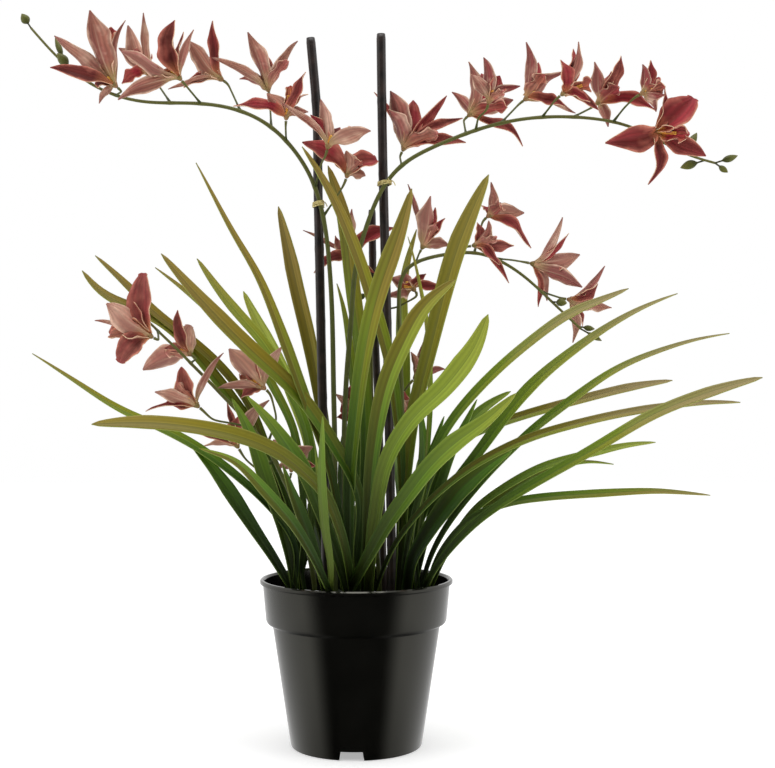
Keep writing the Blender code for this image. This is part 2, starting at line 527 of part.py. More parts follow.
def make_pot():
    outside = [
        (0, 0), (PAD_RADIUS, 0), (PAD_RADIUS, FLOOR_UNDER_Z), (FOOT_RADIUS - 2.6, FLOOR_UNDER_Z),
        (FOOT_RADIUS - 3.2, 0), (FOOT_RADIUS - 0.6, 0), (FOOT_RADIUS, 1.4),
        (BODY_TOP_RADIUS, BODY_TOP_Z), (BAND_FOOT_RADIUS - 1.2, BAND_FOOT_Z - 2.6),
        (BAND_FOOT_RADIUS, BAND_FOOT_Z), (BAND_TOP_RADIUS, RIM_HEIGHT - 5.2),
        (RIM_RADIUS, RIM_HEIGHT - 3.6), (RIM_RADIUS, RIM_HEIGHT - 1.2), (RIM_RADIUS - 1.2, RIM_HEIGHT),
    ]
    inside = [
        (BAND_TOP_RADIUS - 0.4, RIM_HEIGHT), (BAND_TOP_RADIUS - WALL, RIM_HEIGHT - 2.0),
        (BAND_FOOT_RADIUS - WALL, BAND_FOOT_Z + 0.6), (BODY_TOP_RADIUS - WALL, BODY_TOP_Z + 0.8),
        (FOOT_RADIUS - 0.4, FLOOR_UNDER_Z + 4.0), (FOOT_RADIUS - 2.0, FLOOR_UNDER_Z + WALL),
        (0, FLOOR_UNDER_Z + WALL),
    ]
    plastic = finish("pot_plastic", (0.006, 0.006, 0.005), 0.22)
    pot = placed("pot", turned(outside + inside, POT_SIDES), plastic)
    notches = []
    for i in range(NOTCHES):
        bm = bmesh.new()
        bmesh.ops.create_cube(bm, size=1)
        for v in bm.verts:
            width = NOTCH_TOP_WIDTH if v.co.z > 0 else NOTCH_FOOT_WIDTH
            high = NOTCH_HEIGHT if v.co.z > 0 else -1
            v.co = Vector((FOOT_RADIUS + 24 * v.co.x, width * v.co.y, high)) * MM
        angle = NOTCH_TURN + math.tau * i / NOTCHES
        for v in bm.verts:
            v.co = (
                v.co.x * math.cos(angle) - v.co.y * math.sin(angle),
                v.co.x * math.sin(angle) + v.co.y * math.cos(angle),
                v.co.z,
            )
        notches.append(bm)
    cut(pot, "notch", notches, pot.data.materials[0])


def make_soil(holes):
    gap = CLEAR + 0.05
    profile = [
        (0, FLOOR_UNDER_Z + WALL + CLEAR), (FOOT_RADIUS - 3.2, FLOOR_UNDER_Z + WALL + CLEAR),
        (FOOT_RADIUS - 1.6, FLOOR_UNDER_Z + 5.5),
        (BODY_TOP_RADIUS - WALL - gap, BODY_TOP_Z + 1.2), (BAND_FOOT_RADIUS - WALL - gap, BAND_FOOT_Z + 1.2),
        (BAND_FOOT_RADIUS - WALL + 0.8, SOIL_EDGE_Z), (48, SOIL_MIDDLE_Z - 0.8), (0, SOIL_MIDDLE_Z),
    ]
    soil = placed("soil", turned(profile, SOIL_SIDES), finish("soil", (0.02, 0.014, 0.01), 0.95))
    cut(soil, "hole", holes, soil.data.materials[0])


def cane_line(name):
    _, line, (x, y) = CANES[name]
    foot = [Vector((x, y, CANE_FOOT_Z)) * MM, Vector((x, y, RIM_HEIGHT + 5)) * MM]
    return smooth(foot + [drawn(*p) for p in reversed(line)], 9, passes=2)


def make_canes():
    wood = finish("cane", (0.022, 0.016, 0.014), 0.45)
    holes = []
    for name, (radius, _, (x, y)) in CANES.items():
        line = cane_line(name)
        placed(name, tube(line, [radius * MM] * len(line), 8), wood)
        holes.append(upright(x, y, CANE_FOOT_Z - CLEAR, RIM_HEIGHT, radius + 1.2, radius + 1.2, 6))
    return holes


def leaf_width(share, taper, width):
    # narrow in its sheath, full width over its middle, drawn out to a point
    return min(1, ((1 - share) / taper) ** (0.4 + 0.75 * taper), 0.4 + (1.35 - 0.03 * width) * share)


def make_shoots():
    green = finish("leaf", GREEN_LEAF, 0.45)
    holes = []
    for name, (foot_x, lean, leaves) in SHOOTS.items():
        foot_y = lean * spread(AXIS_ACROSS + foot_x, SPREAD_DOWN)
        shapes = [upright(foot_x, foot_y, BASE_FOOT_Z, BASE_TOP_Z, SHOOT_HALF_WIDTH, SHOOT_HALF_DEPTH)]
        holes.append(upright(foot_x, foot_y, BASE_FOOT_Z - CLEAR, RIM_HEIGHT, SHOOT_HALF_WIDTH + CLEAR + 0.1,
                             SHOOT_HALF_DEPTH + CLEAR + 0.1))
        for i, (width, taper, turn, own_lean, line) in enumerate(leaves):
            apart = (i - 1) * (-1 if foot_x < 0 else 1)
            path = [Vector((foot_x + 3.6 * apart, foot_y - 1.4 * apart, BASE_TOP_Z - 3)) * MM]
            for across, down, *depth in line:
                deep = depth[0] if depth else (own_lean or lean) * spread(across, down)
                path.append(drawn(across, down, deep))
            length = sum((b - a).length for a, b in zip(path, path[1:])) / MM
            stations = next(count for longest, count in LEAF_STATIONS if length < longest)
            path = smooth(path, stations)
            seen = math.cos(math.radians(turn or 0))
            shares = [k / (stations - 1) for k in range(stations)]
            nearness = [(EYE_DISTANCE + p.y / MM) / EYE_DISTANCE for p in path]
            widths = [width * leaf_width(s, taper, width) * near / seen * MM
                      for s, near in zip(shares, nearness)]
            angle = None if turn is None else math.radians(turn)
            shapes.append(blade(path, widths, LEAF_THICK * MM, angle, 0.12, Vector((0, -0.5, 1))))
        fused(name, shapes, green)
    return holes


def stem_line(name):
    _, _, (x, y), line, _ = STEMS[name]
    foot = [Vector((x, y, STEM_FOOT_Z)) * MM, Vector((x, y, RIM_HEIGHT - 2)) * MM]
    return smooth(foot + [drawn(*p) for p in line], STEM_STATIONS, passes=3)


def bloom_frame(foot, tepals):
    # the flower's foot, the tips of its tepals, and the way that it faces
    end = drawn(*foot)
    tips = [drawn(across, down, foot[2] + DEEPEN * deeper) for across, down, deeper, _ in tepals]
    axis = sum(((tip - end).normalized() for tip in tips), Vector()).normalized()
    return end, tips, axis


def pedicel_line(stem, points, foot, tepals):
    # from the middle of the flower stem to the flower's foot, coming in along the way the flower faces
    line = stem_line(stem)
    start = drawn(*points[0])
    root = min(line_points(line), key=lambda p: (p - start).length)
    end, _, axis = bloom_frame(foot, tepals)
    path = [root] + [drawn(*p) for p in points[1:]] + [end - axis * NECK * MM]
    return smooth(path, 3, passes=1) + [end]


def line_points(line):
    return along(line, 8 * len(line))


def make_stems():
    green = finish("stem", GREEN_STEM, 0.5)
    holes = []
    for name, (foot_radius, tip_radius, (x, y), _, buds) in STEMS.items():
        line = stem_line(name)
        last = len(line) - 1
        radii = [(foot_radius + (tip_radius - foot_radius) * (i / last) ** 1.4) * MM for i in range(last + 1)]
        shapes = [tube(line, radii, 4)]
        for stalk, tip, width, depth in buds:
            start = drawn(*stalk, 0)
            root = min(line_points(line), key=lambda p: math.hypot(p.x - start.x, p.z - start.z))
            end = drawn(*tip, depth)
            shares = (0, 0.35, 0.55, 0.82, 1)
            bulge = (0.8, 0.8, 0.46 * width, 0.42 * width, 0)
            shapes.append(tube([root.lerp(end, s) for s in shares], [r * MM for r in bulge], 4))
        for stem, points, foot, tepals in BLOOMS.values():
            if stem == name:
                path = pedicel_line(stem, points, foot, tepals)
                shapes.append(tube(path, [PEDICEL_RADIUS * MM] * len(path), 3))
        fused(name, shapes, green)
        holes.append(upright(x, y, STEM_FOOT_Z - CLEAR, RIM_HEIGHT, foot_radius + 0.9, foot_radius + 0.9, 6))
    return holes


def tepal_width(share):
    # narrow at the foot, widest past the middle
    return max(0.16, math.sin(math.pi * share**1.15) ** 0.75)


def round_heart(axis, ways):
    # a direction for each tepal's root, evenly round the axis in the order in which the tepals lie round it
    one = axis.orthogonal().normalized()
    two = axis.cross(one)
    angles = [math.atan2(way.dot(two), way.dot(one)) for way in ways]
    order = sorted(range(len(ways)), key=lambda i: angles[i])
    step = math.tau / len(ways)
    lead = [angles[i] - step * rank for rank, i in enumerate(order)]
    start = math.atan2(sum(math.sin(a) for a in lead), sum(math.cos(a) for a in lead))
    found = {}
    for rank, i in enumerate(order):
        angle = start + step * rank
        found[i] = one * math.cos(angle) + two * math.sin(angle)
    return found


def make_blooms():
    rose = finish("petal", ROSE, 0.5)
    for name, (_, _, foot, tepals) in BLOOMS.items():
        end, tips, axis = bloom_frame(foot, tepals)
        heart = end + axis * (CLEAR + CORE_LENGTH) * MM
        bm = bmesh.new()
        bmesh.ops.create_cone(bm, cap_ends=True, segments=6, radius1=CORE_FOOT * MM, radius2=CORE_RADIUS * MM,
                              depth=CORE_LENGTH * MM)
        bmesh.ops.translate(bm, vec=(0, 0, -CORE_LENGTH / 2 * MM), verts=bm.verts)
        turn = Vector((0, 0, 1)).rotation_difference(axis).to_matrix().to_4x4()
        bmesh.ops.transform(bm, matrix=Matrix.Translation(heart) @ turn, verts=bm.verts)
        shapes = [bm]
        roots = round_heart(axis, [tip - heart for tip in tips])
        for i, (tip, (_, _, _, width)) in enumerate(zip(tips, tepals)):
            way = (tip - heart).normalized()
            root = heart + (roots[i] * 0.62 * CORE_RADIUS - axis * 1.2) * MM
            bow = heart + (axis * BOW + way * 0.25) * (tip - heart).length
            shares = SLIM_SHARES if width < SLIM_WIDTH else TEPAL_SHARES
            line = [root * (1 - s) ** 2 + bow * 2 * s * (1 - s) + tip * s * s for s in shares]
            widths = [width * tepal_width(s) * MM for s in shares]
            inward = heart + axis * (line[1] - heart).dot(axis) - line[1]
            inward = inward.normalized() + axis
            side = math.radians(24 if i % 2 else -24)
            shapes.append(blade(line, widths, PETAL_THICK * MM, side, 0.05, inward, ribs=1))
        fused(name, shapes, rose)


def at_height(line, z):
    for a, b in zip(line, line[1:]):
        if a.z <= z <= b.z:
            return a.lerp(b, (z - a.z) / (b.z - a.z))
    return line[-1]


def make_ties():
    straw = finish("raffia", (0.62, 0.52, 0.25), 0.7)
    for name, (cane, stem, down, height) in TIES.items():
        middle = drawn(0, down, 0).z
        rounds = []
        for line, radius in ((cane_line(cane), CANES[cane][0]), (stem_line(stem), STEMS[stem][0])):
            for z in (middle - height * MM / 2, middle + height * MM / 2):
                rounds.append((at_height(line, z), (radius + 0.5) * MM))
        bm = bmesh.new()
        rings = []
        for k in range(TIE_SIDES):
            angle = math.tau * k / TIE_SIDES
            way = Vector((math.cos(angle), math.sin(angle), 0))
            centre, radius = max(rounds, key=lambda c: c[0].dot(way) + c[1])
            inner = Vector((centre.x, centre.y, middle)) + way * radius
            outer = inner + way * TIE_THICK * MM
            up = Vector((0, 0, height * MM / 2))
            rings.append([bm.verts.new(p) for p in (inner - up, outer - up, outer + up, inner + up)])
        for near, far in zip(rings, rings[1:] + rings[:1]):
            for i in range(4):
                bm.faces.new((near[i], near[(i + 1) % 4], far[(i + 1) % 4], far[i]))
        bmesh.ops.recalc_face_normals(bm, faces=bm.faces)
        placed(name, bm, straw)


for obj in list(bpy.data.objects):
    bpy.data.objects.remove(obj)
make_pot()
make_soil(make_canes() + make_shoots() + make_stems())
make_blooms()
make_ties()
for obj in bpy.data.objects:
    obj.data.shade_smooth()
    obj.data.set_sharp_from_angle(angle=math.radians(40))
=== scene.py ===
import random
from math import atan2, copysign, cos, exp, hypot, pi, radians, sin, sqrt, tau

import bmesh
import bpy
from mathutils import Matrix, Vector, noise


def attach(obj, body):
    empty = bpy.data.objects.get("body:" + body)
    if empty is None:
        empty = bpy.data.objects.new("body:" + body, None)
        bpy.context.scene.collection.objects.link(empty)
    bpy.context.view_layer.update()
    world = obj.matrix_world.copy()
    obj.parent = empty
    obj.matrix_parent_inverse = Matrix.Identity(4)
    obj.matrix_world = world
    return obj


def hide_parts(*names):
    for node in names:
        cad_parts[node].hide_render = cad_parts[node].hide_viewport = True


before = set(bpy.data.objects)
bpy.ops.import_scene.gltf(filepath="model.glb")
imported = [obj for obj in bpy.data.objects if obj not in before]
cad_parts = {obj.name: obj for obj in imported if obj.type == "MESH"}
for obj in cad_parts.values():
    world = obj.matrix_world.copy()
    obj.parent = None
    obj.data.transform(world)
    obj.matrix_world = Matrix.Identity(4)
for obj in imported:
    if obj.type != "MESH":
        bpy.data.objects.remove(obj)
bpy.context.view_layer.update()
mm = 0.001
oneCorner = 1e-6  # in metres: corners nearer than this are merged

# the plant is drawn in front elevation, full size: across from the sheet's left edge, down from its top
sheet = {
    "axisAcross": 356.5,  # the pot's axis
    "floorDown": 743.0,
    "eyeX": 31.0,  # where the elevation is looked at from
    "eyeDistance": 1320.0,
    "eyeZ": 345.0,
    "width": 775.0,
    "height": 768.0,
    "spreadGain": 3.6,  # the foliage opens out: a leaf's depth is its lean times the spread
    "spreadReach": 240.0,
    "spreadDown": 600.0,
}


def at(x, y, z):
    return Vector((x, y, z)) * mm


def spread(across, down):
    reach = hypot(across - sheet["axisAcross"], down - sheet["spreadDown"])
    return 1 + sheet["spreadGain"] * (1 - exp(-reach / sheet["spreadReach"]))


def growth(depth):
    # how much larger than drawn a thing is made at a depth, to look the same
    return (sheet["eyeDistance"] + depth) / sheet["eyeDistance"]


def drawn(across, down, depth=0.0):
    # a point of the elevation, carried along the line of sight to its depth
    grow = growth(depth)
    x = sheet["eyeX"] + (across - sheet["axisAcross"] - sheet["eyeX"]) * grow
    z = sheet["eyeZ"] + (sheet["floorDown"] - down - sheet["eyeZ"]) * grow
    return at(x, depth, z)


# lines and sweeps
def along(points, count):
    lengths = [0.0]
    for a, b in zip(points, points[1:]):
        lengths.append(lengths[-1] + (b - a).length)
    found = []
    i = 0
    for step in range(count):
        goal = lengths[-1] * step / (count - 1)
        while i < len(points) - 2 and lengths[i + 1] < goal:
            i += 1
        share = (goal - lengths[i]) / (lengths[i + 1] - lengths[i])
        found.append(points[i].lerp(points[i + 1], share))
    return found


def smooth(points, count, passes):
    # the line with its corners relaxed, its ends kept
    fine = along(points, count)
    for _ in range(passes):
        middle = [(a + 2 * b + c) / 4 for a, b, c in zip(fine, fine[1:], fine[2:])]
        fine = [fine[0], *middle, fine[-1]]
    return fine


def lengthOf(path):
    return sum((b - a).length for a, b in zip(path, path[1:]))


def tangents(points):
    before = [points[0], *points[:-1]]
    after = [*points[1:], points[-1]]
    return [(b - a).normalized() for a, b in zip(before, after)]


def facesOf(verts):
    # each face once, always in the same order
    return dict.fromkeys(face for vert in verts for face in vert.link_faces)


def lay(bm, across, stations, place):
    # a grid of quads, each corner put where place(u, station) says; u runs 0 to 1 over it
    made = bmesh.ops.create_grid(bm, x_segments=across, y_segments=stations, size=1, calc_uvs=True)["verts"]
    for vert in made:
        vert.co = place((vert.co.x + 1) / 2, round((vert.co.y + 1) / 2 * stations))
    return made


def tube(bm, path, radii, sides, slot=0, lobes=None):
    # a round bar along a path, its radii in millimetres, closed flat at both ends
    side = (path[1] - path[0]).orthogonal().normalized()
    frames = []
    for tangent in tangents(path):
        side = (side - tangent * side.dot(tangent)).normalized()
        frames.append((side, tangent.cross(side)))
    path = [path[0], *path, path[-1]]
    radii = [0.0, *radii, 0.0]
    frames = [frames[0], *frames, frames[-1]]

    def place(u, k):
        one, two = frames[k]
        angle = tau * u
        radius = radii[k] * mm * (lobes(angle, k) if lobes else 1)
        return path[k] + (one * cos(angle) + two * sin(angle)) * radius

    made = lay(bm, sides, len(path) - 1, place)
    faces = facesOf(made)
    for face in faces:
        face.material_index = slot
        face.smooth = True
    bmesh.ops.remove_doubles(bm, verts=made, dist=oneCorner)
    faces = [face for face in faces if face.is_valid]
    bmesh.ops.recalc_face_normals(bm, faces=faces)
    return faces


def newMesh():
    bm = bmesh.new()
    bm.loops.layers.uv.new("along")
    return bm


def layersOf(bm, *names):
    return [bm.verts.layers.float.new(name) for name in names]


def linked(name, data):
    made = bpy.data.objects.new(name, data)
    bpy.context.scene.collection.objects.link(made)
    return made


def meshObject(name, bm, materials=()):
    mesh = bpy.data.meshes.new(name)
    bm.to_mesh(mesh)
    bm.free()
    for material in materials:
        mesh.materials.append(material)
    return linked(name, mesh)


def finished(name, bm, materials, node):
    piece = meshObject(name, bm, materials)
    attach(piece, "root")
    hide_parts(node)
    return piece


# finishes
def colour(code):
    # a web colour, made linear
    parts = [int(code[i:i + 2], 16) / 255 for i in (0, 2, 4)]
    return (*[c / 12.92 if c < 0.04045 else ((c + 0.055) / 1.055) ** 2.4 for c in parts], 1)


class Nodes:
    # a node tree, with short calls for what the finishes and the sky share
    def __init__(self, tree):
        self.tree = tree

    def put(self, socket, value):
        if isinstance(value, bpy.types.NodeSocket):
            self.tree.links.new(value, socket)
        else:
            socket.default_value = colour(value) if isinstance(value, str) else value

    def node(self, kind, out=0, **inputs):
        made = self.tree.nodes.new("ShaderNode" + kind)
        for key, value in inputs.items():
            if key.startswith("in") and key[2:].isdigit():
                self.put(made.inputs[int(key[2:])], value)
            elif hasattr(made, key):
                setattr(made, key, value)
            else:
                self.put(made.inputs[key.replace("_", " ")], value)
        return made.outputs[out]

    def math(self, operation, a, b=0.0, clamp=False):
        return self.node("Math", operation=operation, use_clamp=clamp, in0=a, in1=b)

    def times(self, a, b):
        return self.math("MULTIPLY", a, b)

    def plus(self, a, b):
        return self.math("ADD", a, b)

    def shaken(self, value, cloud, amount):
        # the value, pushed up and down by a noise
        return self.plus(value, self.times(self.math("SUBTRACT", cloud, 0.5), amount))

    def mix(self, share, a, b, blend="MIX"):
        return self.node("Mix", out=2, data_type="RGBA", blend_type=blend, in0=share, in6=a, in7=b)

    def ramp(self, share, *stops):
        made = self.tree.nodes.new("ShaderNodeValToRGB")
        self.put(made.inputs[0], share)
        band = made.color_ramp
        while len(band.elements) < len(stops):
            band.elements.new(1)
        for element, (place, code) in zip(band.elements, stops):
            element.position = place
            element.color = colour(code) if isinstance(code, str) else (code, code, code, 1)
        return made.outputs[0]


class Finish(Nodes):
    # a material whose patterns follow the piece
    def __init__(self, name, roughness, **sockets):
        self.material = bpy.data.materials.new(name)
        self.material.use_nodes = True
        super().__init__(self.material.node_tree)
        self.shader = self.tree.nodes["Principled BSDF"]
        self.shader.inputs["Roughness"].default_value = roughness
        for socket, value in sockets.items():
            self.shader.inputs[socket.replace("_", " ")].default_value = value

    def uv(self):
        across = self.node("SeparateXYZ", in0=self.node("UVMap", uv_map="along"))
        return across, across.node.outputs[1]

    def value(self, name):
        return self.node("Attribute", out=2, attribute_name=name)

    def offMiddle(self, u):
        # 0 on the midrib, 1 on the margin
        return self.times(self.math("ABSOLUTE", self.math("SUBTRACT", u, 0.5)), 2.0)

    def paintedShadeHalf(self, u, body, depth, tone):
        # painted shade: the half beyond the midrib is darkened, as a folded blade's shaded half looks
        return self.mix(self.ramp(u, (0.46, 0.0), (0.53, depth)), body, tone, "MULTIPLY")

    def lengthwise(self, u, v, stretch, **sizes):
        vector = self.node("CombineXYZ", in0=u, in1=self.times(v, stretch))
        return self.node("TexWave", wave_type="BANDS", bands_direction="X", Vector=vector, **sizes)

    def clouds(self, scale, detail=3.0, vector=None):
        # a noise over the piece's own coordinates, unless another vector is given
        vector = vector or self.node("TexCoord", out=3)
        return self.node("TexNoise", Scale=scale, Detail=detail, Vector=vector)

    def bump(self, height, strength, distance):
        self.put(self.shader.inputs["Normal"],
                 self.node("Bump", Strength=strength, Distance=distance, Height=height))

    def paint(self, value):
        self.put(self.shader.inputs["Base Color"], value)
        return self.material


# leaf colours: the ramps' dark low stops are painted shade near the soil, the half tone painted shade
# beyond the midrib, the rib a painted crease shade, the edge painted light glowing through the margin, and
# the pale tone partly painted light shining through
leafLook = {
    "green": [(0, "0a1204"), (0.12, "182a09"), (0.28, "2b490e"), (0.45, "517a16"), (0.7, "94aa2e"),
              (1, "9a983c")],
    "gold": [(0, "161604"), (0.14, "2c2e08"), (0.35, "5c580c"), (0.7, "8a7618"), (1, "968238")],
    "halfTone": "8a9070", "pale": "a9b840", "tipBrown": "96703e", "tipGrey": "aea47e", "vein": "1e3008",
    "rib": "2c4410", "rim": "2c4c10", "edge": "a8b458", "under": "8da040",
    "streaksAcross": 7.0, "streaksAlong": 2.5, "streaksApart": 20.0,
    "goldRise": 1.9, "goldHalf": 0.4, "goldStreaks": 0.6, "veinShare": 0.36, "underShare": 0.3,
}


def leafFinish(p):
    # a blade darkened towards its foot as painted shade near the soil, yellow green or golden olive, grey
    # olive tip, a pale margin painted as light glowing through it, pleated lengthwise
    leaf = Finish("leafGreen", 0.45, Specular_IOR_Level=0.25)
    u, v = leaf.uv()
    shade = leaf.value("shade")
    dry = leaf.value("dry")
    rise = leaf.times(v, leaf.value("reach"))  # a short leaf keeps the colours of a long one's foot
    streaks = leaf.clouds(1.0, vector=leaf.node(
        "CombineXYZ", in0=leaf.times(u, p["streaksAcross"]), in1=leaf.times(v, p["streaksAlong"]),
        in2=leaf.times(shade, p["streaksApart"])))
    turn = leaf.times(leaf.value("olive"), leaf.plus(leaf.times(rise, p["goldRise"]), 0.05))
    half = leaf.times(leaf.ramp(u, (0.44, 0.0), (0.56, 1.0)), leaf.value("half"))
    turn = leaf.shaken(leaf.plus(turn, leaf.times(half, p["goldHalf"])), streaks, p["goldStreaks"])
    turned = leaf.ramp(turn, (0.25, 0.0), (0.85, 1.0))
    # both ramps darken towards the foot: painted shade near the soil
    body = leaf.mix(turned, leaf.ramp(rise, *p["green"]), leaf.ramp(rise, *p["gold"]))
    # painted shade over the half of the blade beyond the midrib
    body = leaf.paintedShadeHalf(u, body, 0.5, p["halfTone"])
    # paler higher up: partly the leaf's own paler colour, partly painted light shining through thin leaves
    body = leaf.mix(leaf.times(shade, leaf.ramp(rise, (0.1, 0.1), (0.6, 0.65))), body, p["pale"])
    tipShare = leaf.ramp(leaf.plus(rise, leaf.times(leaf.clouds(30.0), 0.2)), (0.72, 0.0), (1, 0.6))
    tipShare = leaf.times(tipShare, leaf.plus(dry, 0.4))
    body = leaf.mix(tipShare, body, leaf.mix(dry, p["tipBrown"], p["tipGrey"]))
    lines = leaf.lengthwise(u, v, 0.4, Scale=1.35, Distortion=0.9, Detail=1.0, Detail_Scale=1.2)
    body = leaf.mix(leaf.times(lines, leaf.times(streaks, p["veinShare"])), body, p["vein"])
    off = leaf.offMiddle(u)
    # a dark line down the midrib: painted shade in the fold's crease
    body = leaf.mix(leaf.ramp(off, (0.0, 0.5), (0.08, 0.0)), body, p["rib"])
    rim = leaf.times(leaf.ramp(off, (0.66, 0.0), (0.9, 0.5)), leaf.ramp(v, (0.3, 1.0), (0.7, 0.0)))
    body = leaf.mix(rim, body, p["rim"])
    # a pale margin, brighter higher up: painted light glowing through the thin edge
    body = leaf.mix(leaf.times(leaf.ramp(off, (0.93, 0.0), (0.99, 0.6)), rise), body, p["edge"])
    body = leaf.mix(leaf.times(leaf.value("under"), p["underShare"]), body, p["under"])
    leaf.bump(leaf.times(lines, leaf.ramp(v, (0.2, 1.0), (0.75, 0.0))), 0.3, 0.0005)
    return leaf.paint(body)


# the sides of petals and lips: centre, margin (partly painted highlight), tip, foot, rib (painted
# highlight line) and blotches, then how far the side fades and how much its veins show
petalLooks = {
    "petalInside": ("742c28", "ce7a68", "9c3c42", "c27a50", "84342e", "a8323c", 0.2, 0.2),
    "petalOutside": ("b07460", "f0ccb2", "8c504c", "a08c54", "e0bca0", "983c40", 0.8, 0.25),
    "lipInside": ("cc6e3c", "eca48c", "b0404a", "e8ac3c", "e0a040", "b0323e", 0.6, 0.4),
    "lipOutside": ("cc7860", "f4c8ac", "b85056", "b39060", "dca07c", "ac4048", 0.8, 0.35),
}
# the first tone is painted shade for one half of each tepal
petalTones = {"halfTone": "b49490", "vein": "3c1210", "faded": "e8b8a4", "veinGain": 2.8,
              "marginNoise": 0.8, "blotchNoise": 2.2}


def petalFinish(name, centre, margin, tip, foot, rib, blotch, fade, veinShare):
    # a paler line down the rib as a painted highlight on the keel, one half in painted shade, a paler
    # margin partly brightened as painted highlight, soft veins from foot to tip, and as many blotches as
    # the bloom's own shade says
    p = petalTones
    petal = Finish(name, 0.6, Specular_IOR_Level=0.16)
    u, v = petal.uv()
    middle = petal.offMiddle(u)
    cloud = petal.clouds(90.0)
    blotches = petal.shaken(petal.value("shade"), petal.clouds(34.0, 4.0), p["blotchNoise"])
    body = petal.mix(petal.math("MULTIPLY", blotches, 1.0, clamp=True), centre, blotch)
    body = petal.mix(petal.ramp(petal.clouds(46.0), (0.5, 0.0), (0.7, 0.7)), body, margin)
    # painted shade over the half of the tepal beyond the midrib
    body = petal.paintedShadeHalf(u, body, 0.7, p["halfTone"])
    # a paler margin: the tepal's own cream edge, brightened as painted highlight
    off = petal.shaken(middle, cloud, p["marginNoise"])
    body = petal.mix(petal.ramp(off, (0.58, 0.0), (0.84, 0.4), (0.98, 1.0)), body, margin)
    lines = petal.lengthwise(u, v, 0.5, Scale=1.7, Distortion=2.4, Detail=3.0, Detail_Scale=1.5)
    streaks = petal.times(lines, petal.times(petal.clouds(50.0), p["veinGain"] * veinShare))
    body = petal.mix(streaks, body, p["vein"])
    # a paler line down the rib, fading towards the tip: painted highlight along the keel
    line = petal.times(petal.ramp(middle, (0.0, 0.7), (0.1, 0.0)), petal.ramp(v, (0, 1), (0.85, 0)))
    body = petal.mix(line, body, rib)
    body = petal.mix(petal.ramp(v, (0.78, 0.0), (1, 0.8)), body, tip)
    body = petal.mix(petal.ramp(v, (0.0, 1.0), (0.3, 0.0)), body, foot)
    body = petal.mix(petal.times(petal.value("tint"), fade), body, p["faded"])
    petal.bump(petal.plus(lines, cloud), 0.5, 0.0005)
    return petal.paint(body)


def lengthFinish(name, stops, scale, roughness):
    # a colour that changes along the piece, a little mottled
    made = Finish(name, roughness, Specular_IOR_Level=0.3)
    cloud = made.clouds(scale, 4.0)
    made.bump(cloud, 0.25, 0.0004)
    return made.paint(made.ramp(made.shaken(made.uv()[1], cloud, 0.5), *stops))


def plainFinish(name, low, high, scale, roughness, strength=0.2, distance=0.0004, **sockets):
    # two tones mottled together, with a matching grain in the surface
    made = Finish(name, roughness, **sockets)
    cloud = made.clouds(scale, 5.0)
    made.bump(cloud, strength, distance)
    return made.paint(made.mix(made.ramp(cloud, (0.32, 0.0), (0.68, 1.0)), low, high))


leafGreen = leafFinish(leafLook)
petalInside, petalOutside, lipInside, lipOutside = [
    petalFinish(name, *look) for name, look in petalLooks.items()]
petalEdge = plainFinish("petalEdge", "cc9478", "ecd0ac", 120.0, 0.6, Specular_IOR_Level=0.2)
columnCream = plainFinish("columnCream", "d88a3a", "ecbe50", 300.0, 0.45, Specular_IOR_Level=0.3)
calyxTan = plainFinish("calyxTan", "6e6a34", "a87a58", 150.0, 0.55, Specular_IOR_Level=0.25)
stemGreen = lengthFinish("stemGreen", [(0, "343e18"), (0.45, "545a26"), (1, "666430")], 120.0, 0.45)
budGreen = lengthFinish("budGreen", [(0.3, "383a12"), (0.6, "5a5e24"), (1, "6e6c30")], 160.0, 0.5)
caneDark = plainFinish("caneDark", "15100e", "31241f", 90.0, 0.4, 0.35, 0.0006)
raffiaStraw = plainFinish("raffiaStraw", "a8924c", "dccf90", 400.0, 0.75, 0.5, 0.0006)
soilDark = plainFinish("soilDark", "0d0a08", "2c2119", 180.0, 0.95, 0.8, 0.002)
barkBrown = plainFinish("barkBrown", "1a120d", "3d2c20", 240.0, 0.9, 0.6, 0.001)
potBlack = plainFinish("potBlack", "050504", "0a0a08", 30.0, 0.13, 0.04, 0.0003, Specular_IOR_Level=0.6,
                       Specular_Tint=(1, 0.98, 0.84, 1))
print("finishes made")

potSizes = {
    "rimHeight": 165.0, "rimRadius": 96.0, "bandTopRadius": 93.2, "bandFootRadius": 90.0,
    "bandFootZ": 125.0, "bodyTopRadius": 83.4, "bodyTopZ": 119.0, "footRadius": 65.6, "wall": 1.7,
    "floorUnderZ": 9.5,
    "padRadius": 12.0, "sides": 160, "softEdge": 0.5, "softAngle": 28, "notches": 3, "notchTurn": -92.7,
    "notchTop": 21.0, "notchFoot": 24.0, "notchHeight": 8.5, "notchDepth": 24,
}


